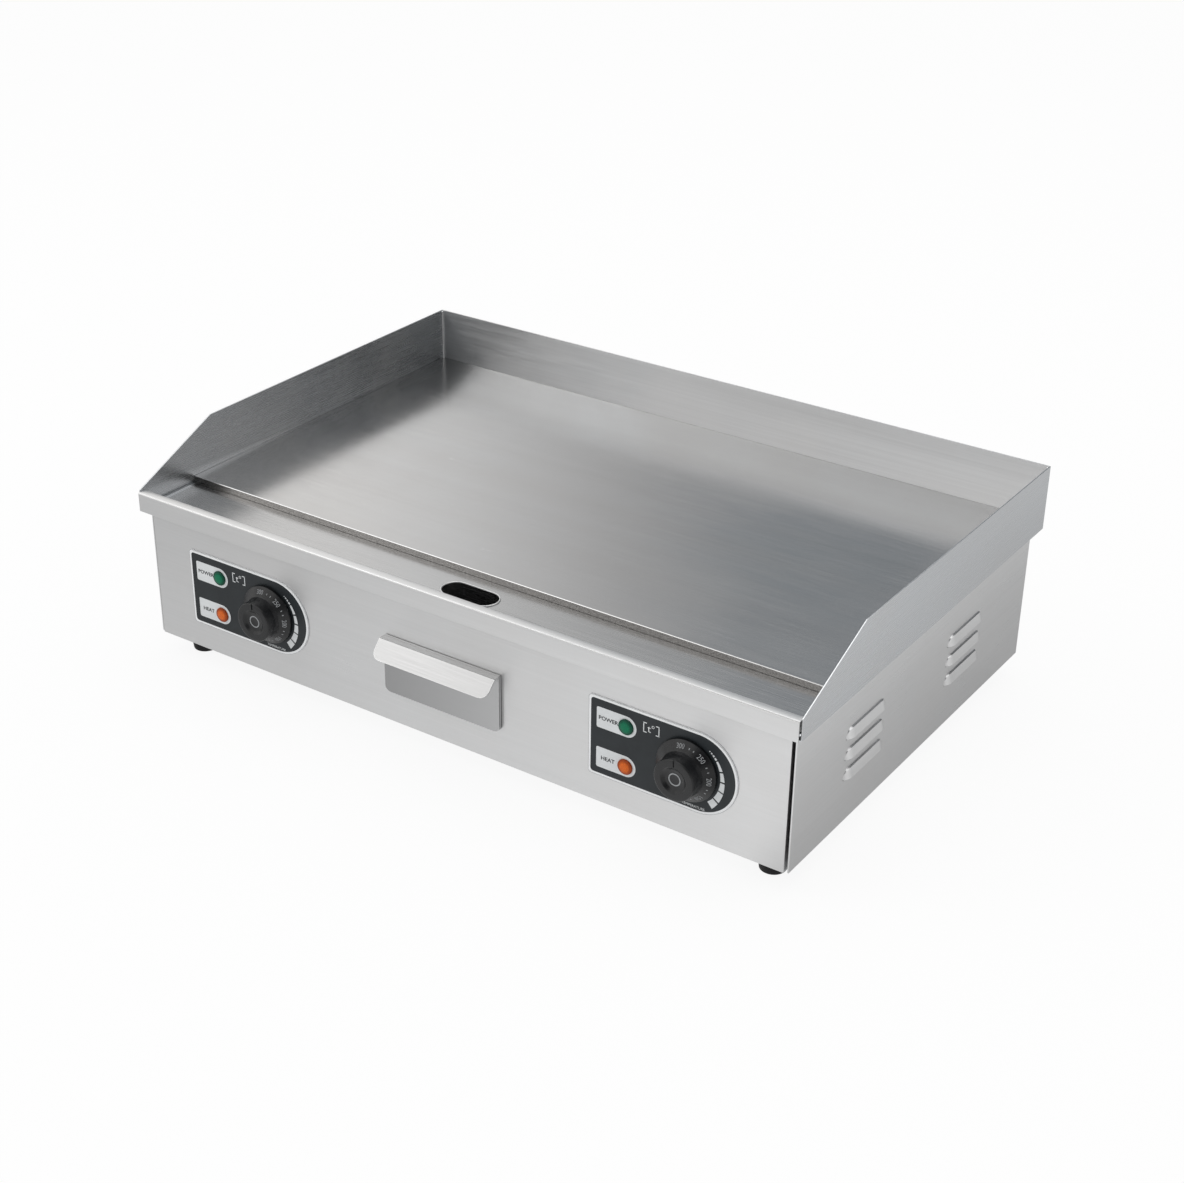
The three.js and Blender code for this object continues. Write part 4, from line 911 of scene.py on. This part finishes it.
def knobPiece(side):
    # the profile turned about the shaft; the pointer groove sinks the face between two close pairs of angles
    center = middleOf(f"{side}_knob")
    center[1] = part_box(f"{side}_knob")[1].y
    profile = knobProfile()
    half = math.asin(knob["groove"] / (knob["grip"] * 0.85))
    slack = 1e-6
    edges = math.pi / 2 + np.array([-half - knob["grooveEdge"], -half, half, half + knob["grooveEdge"]])
    angles = np.unique(np.concatenate([turnAngles(knob["steps"]), edges]))
    points = turnedPoints(profile, angles, center, "front")
    onFace = (profile[:, 0] >= knob["grooveIn"] - slack) & (profile[:, 1] > knob["height"] - knob["edge"] - slack)
    points[..., 1] += ((abs(angles - math.pi / 2) <= half + slack)[:, None] & onFace[None, :]) * knob["grooveDepth"]
    faces = gridFaces(len(angles), len(profile), closeRows=True)
    dress(closedPiece(f"{side}_knob_moulding", points, faces, 30), "knob", f"{side}_knob", [f"{side}_knob"])
    around = turnAngles(72)
    circle = np.stack([np.cos(around), 0 * around, np.sin(around)], -1)
    face = center[1] - (knob["height"] - knob["recessDepth"]) - knob["ringLift"]
    rings = np.stack([circle * knob["ringOuter"], circle * knob["ringInner"]]) + (center[0], face, center[2])
    badge = printPiece(f"{side}_knob_ring", rings, gridFaces(2, len(around), closeColumns=True), knob["ringThick"])
    dress(badge, "dialPrint", f"{side}_knob")
    return center


def conePlace(center, radius, angle, lift):
    # a place on the dial's cone, lifted off it: the cone falls from its top to the rim
    slope = (knob["coneHeight"] - knob["rim"]) / (knob["dial"] - knob["coneRadius"])
    height = knob["coneHeight"] - (radius - knob["coneRadius"]) * slope + lift
    return np.stack([center[0] + radius * np.cos(angle), center[1] - height, center[2] + radius * np.sin(angle)], -1)


def dialPrint(side, center):
    # figures on the dial's cone, each bent round it, with two dashes between neighbours
    figures = dict(values=[50, 100, 150, 200, 250, 300], start=209, step=50, size=0.0054, base=0.0251,
                   dashInner=0.0243, dashOuter=0.0258, dashWidth=0.9, dashes=(0.4, 0.6), lift=0.00012,
                   thickness=0.00006)
    start, step, base, lift = (figures[name] for name in ("start", "step", "base", "lift"))
    parts = []
    for at, value in enumerate(figures["values"]):
        flat, faces = textOutline(str(value), figures["size"])
        angle = math.radians(start + at * step) - flat[:, 0] / base
        parts.append((conePlace(center, base + flat[:, 1], angle, lift), faces))
    for at in range(len(figures["values"]) - 1):
        for share in figures["dashes"]:
            middle = start + at * step + share * step
            corner = np.radians(middle + figures["dashWidth"] * np.array([-1, 1, 1, -1]))
            radius = np.array([figures["dashInner"]] * 2 + [figures["dashOuter"]] * 2)
            parts.append((conePlace(center, radius, corner, lift), [range(4)]))
    dress(printPiece(f"{side}_dial_figures", *joinParts(parts), figures["thickness"]), "dialPrint", f"{side}_knob")


for side in sides:
    labelPieces(side)
    for lamp in ("power", "heat"):
        lampPiece(side, lamp)
    dialPrint(side, knobPiece(side))
print("labels, lamps and knobs")


# drawer

def handlePiece():
    # P(s, u): s runs up the front plate, out along the flange and down the lip, u across it;
    # its half width falls on arcs at the plate's lower corners and at the lip's free ones
    handle = dict(reach=0.005, gripReach=0.0138, gripDrop=0.0146, taper=0.0005, plateCorner=0.006, lipCorner=0.0085,
                  topBend=0.0002, lipBend=0.0018, spacing=0.0006, bevel=0.00015)
    low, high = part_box("drawer_handle")
    plateY, top = high.y - sheet / 2, high.z - sheet / 2
    lipY = high.y - sheet - handle["reach"]
    fall = np.array([-handle["gripReach"], -handle["gripDrop"]])
    path = roundedPath([(plateY, low.z, 0), (plateY, top, handle["topBend"]), (lipY, top, handle["lipBend"]),
                        (*(np.array([lipY, top]) + fall), 0)], 10)
    dense = [path[:1]]
    for start, end in zip(path[:-1], path[1:]):
        count = max(1, int(np.linalg.norm(end - start) / handle["spacing"]))
        dense.append(start + (end - start) * (np.arange(1, count + 1) / count)[:, None])
    path = np.concatenate(dense)
    length = np.concatenate([[0], np.cumsum(np.linalg.norm(np.diff(path, axis=0), axis=1))])
    fromStart = np.clip(length / handle["plateCorner"], 0, 1)
    fromEnd = np.clip((length[-1] - length) / handle["lipCorner"], 0, 1)
    lipShare = np.clip((length[-1] - length) / np.linalg.norm(fall), 0, 1)
    width = high.x - handle["plateCorner"] * roundFall(fromStart)
    width = width - handle["lipCorner"] * roundFall(fromEnd) - handle["taper"] * (1 - lipShare)
    x = width[:, None] * np.linspace(-1, 1, 41)[None, :]
    points = np.stack([x, np.broadcast_to(path[:, :1], x.shape), np.broadcast_to(path[:, 1:], x.shape)], -1)
    piece = putMesh("drawer_handle_sheet", points, gridFaces(*x.shape), 40)
    addModifier(piece, "SOLIDIFY", thickness=sheet, offset=0)
    addBevel(piece, handle["bevel"], 50)
    dress(piece, "handle", "drawer", ["drawer_handle"])


def handleRim():
    # an edge turned back behind the plate: its outline with round lower corners, carried to just before the cabinet
    rim = dict(corner=0.006, topCorner=0.0005, clear=0.0005, lap=0.0004)
    low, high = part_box("drawer_handle")
    start = high.y - rim["lap"]
    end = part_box("front_panel")[0].y - rim["clear"]
    outer, inner = (roundedBox(low, high, inset, [rim["corner"] - inset] * 2, [rim["topCorner"]] * 2, 8)
                    for inset in (0.0, sheet))
    points = np.stack([standing(loop, y) for loop, y in ((outer, start), (outer, end), (inner, end), (inner, start))])
    dress(closedPiece("drawer_handle_rim", points, gridFaces(4, len(outer), True, True)), "handle", "drawer")


handlePiece()
handleRim()
softenedCopy("drawer_tray", "pan", "drawer")
for side in sides:
    softenedCopy(f"{side}_drawer_rail", "zinc")
print("drawer")


# cable gland at the rear

def glandPiece():
    # a turned body with thread ridges inside the panel and a fluted dome outside it; a flute takes
    # depth * (0.5 + 0.5 * cos(flutes * a)) off the dome's radius
    gland = dict(bore=0.0055, thread=0.008, flange=0.012, dome=0.010, flangeLength=0.005, pitch=0.0015, flutes=18,
                 fluteDepth=0.0005, ridge=0.0005, ridgeStart=0.0008, reach=0.0165, seat=0.0003, steps=144)
    low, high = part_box("cable_gland")
    panelLow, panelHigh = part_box("rear_panel")
    bore, thread, dome, end = gland["bore"], gland["thread"], gland["dome"], high.y
    seat = panelHigh.y + gland["seat"]
    flangeEnd = seat + gland["flangeLength"]
    root, ridgeStart = thread - gland["ridge"], low.y + gland["ridgeStart"]
    turns = np.arange(2 * len(np.arange(ridgeStart, panelLow.y + gland["reach"], gland["pitch"])))
    ridge = np.stack([np.where(turns % 2 == 0, thread, root), ridgeStart + turns * gland["pitch"] / 2], -1)
    ridge = ridge[ridge[:, 1] < seat - gland["seat"]]
    outer = roundedPath([(thread, seat, 0), (gland["flange"], seat, 0.0006), (gland["flange"], flangeEnd, 0.0008),
                         (dome, flangeEnd + 0.0003, 0.0004), (dome, end - 0.005, 0.003), (thread, end, 0.001),
                         (bore, end, 0.0004), (bore, low.y, 0), (root, low.y, 0)], 5)
    profile = np.concatenate([outer, ridge, outer[:1]])
    center = middleOf("cable_gland") * (1, 0, 1)
    angles = turnAngles(gland["steps"])
    points = turnedPoints(profile, angles, center, "rear")
    onDome = (profile[:, 1] > flangeEnd + 0.001) & (profile[:, 1] < end - 0.003) & (profile[:, 0] > thread)
    dent = gland["fluteDepth"] * (0.5 + 0.5 * np.cos(angles * gland["flutes"]))
    shrink = 1 - onDome[None, :] * dent[:, None] / dome
    for axis in (0, 2):
        points[..., axis] = center[axis] + (points[..., axis] - center[axis]) * shrink
    faces = gridFaces(len(angles), len(profile), closeRows=True)
    dress(closedPiece("cable_gland_moulding", points, faces), "black", "griddle", ["cable_gland"])


glandPiece()
print("gland")


# pieces that keep their rigid shape and get a finish

plain = {
    "zinc": [f"{corner}_foot_screw" for corner in corners],
    "white": ["terminal_block"],
    "brass": ["earth_terminal"],
    "black": ["cable_gland_nut"],
    "sheath": [f"{side}_heating_element" for side in sides],
    "copper": [f"{side}_sensing_bulb" for side in sides],
    "wool": [f"{side}_insulation" for side in sides],
    "sleeve": [f"{side}_wiring_harness" for side in sides],
}
for side in sides:
    plain["zinc"] += [f"{side}_thermostat_shaft", f"{side}_heat_shield"]
    plain["zinc"] += [f"{side}_shield_nut_{number}" for number in (1, 2, 3)]
    plain["white"] += [f"{side}_thermostat", f"{side}_power_lamp_body", f"{side}_heat_lamp_body"]
for finish, names in plain.items():
    for name in names:
        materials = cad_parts[name].data.materials
        materials.clear()
        materials.append(finishes[finish])
print("inner pieces finished")


# floor, light and camera

def fillRamp(tree, position, stops):
    ramp = addNode(tree, "ShaderNodeValToRGB", {"Fac": position})
    while len(ramp.color_ramp.elements) < len(stops):
        ramp.color_ramp.elements.new(0.5)
    for element, (place, color) in zip(ramp.color_ramp.elements, stops):
        element.position = place
        element.color = color
    return ramp


def buildFloor():
    # pale floor: the camera sees it white, with the object's shadow on it; in reflections it grows dimmer to the left
    # and to the rear, and dimmest close to the object's right side, where a painted shadow of the object lies
    # across: the floor's tones as metal sees it, left to right; its dip near x 0.37 is a painted shadow beside the
    # object's right side
    studio = dict(size=40.0, paint=0.93, white=1.0, shadowShare=0.1, mirrorShare=0.28,
                  across=[(-0.7, 0.54), (0.3, 1.18), (0.37, 0.44), (0.46, 0.58), (0.6, 1.0)], acrossReach=0.8,
                  rearFrom=(-0.1, 1.0), rearTo=(0.45, 0.72))
    half = studio["size"] / 2
    floor = putMesh("floor", [(-half, -half, 0), (half, -half, 0), (half, half, 0), (-half, half, 0)], [(0, 1, 2, 3)])
    material = bpy.data.materials.new("floor")
    material.use_nodes = True
    tree = material.node_tree
    tree.nodes.remove(tree.nodes["Principled BSDF"])
    diffuse = addNode(tree, "ShaderNodeBsdfDiffuse", {"Color": grey(studio["paint"])})
    place = partsOf(tree, objectPlace(tree))
    reach = studio["acrossReach"]
    stops = [(x / (2 * reach) + 0.5, grey(value)) for x, value in studio["across"]]
    ramp = fillRamp(tree, addRange(tree, place["X"], -reach, reach), stops)
    (fromY, fromTone), (toY, toTone) = studio["rearFrom"], studio["rearTo"]
    back = addRange(tree, place["Y"], fromY, toY, fromTone, toTone)
    path = addNode(tree, "ShaderNodeLightPath").outputs
    rear = addNode(tree, "ShaderNodeCombineColor", {"Red": back, "Green": back, "Blue": back}).outputs[0]
    mirroredWithPaintedShadow = tinted(tree, ramp.outputs["Color"], rear)
    shown = addMix(tree, path["Is Glossy Ray"], grey(studio["white"]), mirroredWithPaintedShadow)
    glow = addNode(tree, "ShaderNodeEmission", {"Color": shown, "Strength": 1.0})
    seen = addMath(tree, "MAXIMUM", path["Is Camera Ray"],
                   addMath(tree, "MAXIMUM", path["Is Glossy Ray"], path["Is Transmission Ray"]))
    kept = addRange(tree, path["Is Glossy Ray"], 0.0, 1.0, 1 - studio["shadowShare"], 1 - studio["mirrorShare"])
    mixed = addNode(tree, "ShaderNodeMixShader",
                    {0: times(tree, seen, kept), 1: diffuse.outputs[0], 2: glow.outputs[0]})
    tree.links.new(mixed.outputs[0], tree.nodes["Material Output"].inputs["Surface"])
    floor.data.materials.append(material)


def buildWorld():
    # studio as polished metal sees it: its walls by their turn from the rear in degrees, a bright ceiling, a bright
    # band above the floor at the right and a dark place high up at the front right; everything else is lit evenly
    studio = dict(
        walls=[(-180, 1.1), (-158, 1.4), (-151, 0.65), (-146, 0.65), (-139, 1.3), (-128, 1.2), (-118, 0.9),
               (-104, 1.2), (-43, 1.15), (-39, 0.98), (-36, 0.76), (-33, 0.54), (-29, 0.36), (-20, 0.32), (35, 0.05),
               (41, 0.05), (49, 0.8), (110, 1.0), (135, 0.6)],
        brightFrom=1.1, brightWarmth=0.018, dimFrom=0.5, dimWarmth=-0.07,
        ceiling=1.15, ceilingFrom=0.58, ceilingTo=0.8, low=0.95, lowTo=0.1, lowFrom=0.26, lowSide=(0.3, 0.5),
        fill=0.79, dark=0.03, darkWarmth=-0.08, darkTowards=(0.49, -0.72, 0.49), darkEdge=(0.8, 0.94))
    world = bpy.data.worlds.new("studio")
    bpy.context.scene.world = world
    world.use_nodes = True
    tree = world.node_tree
    direction = addNode(tree, "ShaderNodeTexCoord").outputs["Generated"]
    parts = partsOf(tree, direction)
    turn = addMath(tree, "ARCTAN2", parts["X"], parts["Y"])
    stops = []
    for degrees, value in studio["walls"]:
        dim = studio["dimWarmth"] if value < studio["dimFrom"] else 0.0
        warmth = studio["brightWarmth"] if value > studio["brightFrom"] else dim
        stops.append((degrees / 360 + 0.5, grey(value, warmth)))
    ramp = fillRamp(tree, addRange(tree, turn, -math.pi, math.pi), stops)
    ramp.color_ramp.interpolation = "EASE"
    ceilingShare = addRange(tree, parts["Z"], studio["ceilingFrom"], studio["ceilingTo"], smooth=True)
    walls = addMix(tree, ceilingShare, ramp.outputs["Color"], grey(studio["ceiling"]))
    lowShare = times(tree, addRange(tree, parts["Z"], studio["lowFrom"], studio["lowTo"], smooth=True),
                     addRange(tree, parts["X"], *studio["lowSide"], smooth=True))
    walls = addMix(tree, lowShare, walls, grey(studio["low"]))
    toDark = addVectorMath(tree, "DOT_PRODUCT", direction, studio["darkTowards"])["Value"]
    darkShare = addRange(tree, toDark, *studio["darkEdge"], smooth=True)
    walls = addMix(tree, darkShare, walls, grey(studio["dark"], studio["darkWarmth"]))
    path = addNode(tree, "ShaderNodeLightPath").outputs
    mirrored = addMath(tree, "MAXIMUM", path["Is Glossy Ray"], path["Is Transmission Ray"])
    rest = addMix(tree, mirrored, grey(studio["fill"]), walls)
    final = addMix(tree, path["Is Camera Ray"], rest, grey(1.0))
    tree.links.new(final, tree.nodes["Background"].inputs["Color"])


def addLamp(name, place, target, size, radiance):
    # a large dim soft box; its power is radiance * pi * its area
    lamp = bpy.data.lights.new(name, "AREA")
    lamp.shape = "RECTANGLE"
    lamp.size, lamp.size_y = size
    lamp.energy = radiance * math.pi * size[0] * size[1]
    holder = addObject(name, lamp)
    holder.location = place
    aim = mathutils.Vector(target) - mathutils.Vector(place)
    holder.rotation_euler = aim.to_track_quat("-Z", "Y").to_euler()


def buildCamera():
    # the photograph's view: where the camera stands from the trough's front and the panel's bottom edge, its turn,
    # tilt and roll, and its focal length in pixels
    view = dict(toRight=0.99003, inFront=1.22262, above=0.98579, yaw=0.5965, pitch=-0.4896, roll=0.0122,
                focal=2030.95, width=1184, offset=(-5.49, 8.89), sensor=36.0)
    place = (view["toRight"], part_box("trough")[0].y - view["inFront"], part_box("front_panel")[0].z + view["above"])
    data = bpy.data.cameras.new("camera")
    holder = addObject("camera", data)
    yaw, pitch, roll = view["yaw"], view["pitch"], view["roll"]
    forward = np.array([-math.sin(yaw) * math.cos(pitch), math.cos(yaw) * math.cos(pitch), math.sin(pitch)])
    level = np.array([math.cos(yaw), math.sin(yaw), 0.0])
    upright = np.cross(level, forward)
    right = level * math.cos(roll) + upright * math.sin(roll)
    up = upright * math.cos(roll) - level * math.sin(roll)
    turn = mathutils.Matrix((right, up, -forward)).transposed().to_4x4()
    holder.matrix_world = mathutils.Matrix.Translation(place) @ turn
    settings = dict(sensor_fit="HORIZONTAL", sensor_width=view["sensor"],
                    lens=view["sensor"] * view["focal"] / view["width"], shift_x=-view["offset"][0] / view["width"],
                    shift_y=view["offset"][1] / view["width"], clip_start=0.01, clip_end=200.0)
    for name, value in settings.items():
        setattr(data, name, value)
    bpy.context.scene.camera = holder


buildFloor()
buildWorld()
addLamp("key", (-2.5, -1.8, 2.9), (0, 0, 0.1), (2.0, 2.0), 1.3)
addLamp("top", (0.2, 0.3, 2.8), (0, 0, 0.1), (2.2, 1.6), 1.2)
buildCamera()
bpy.context.scene.view_settings.view_transform = "Standard"
print("studio and camera")
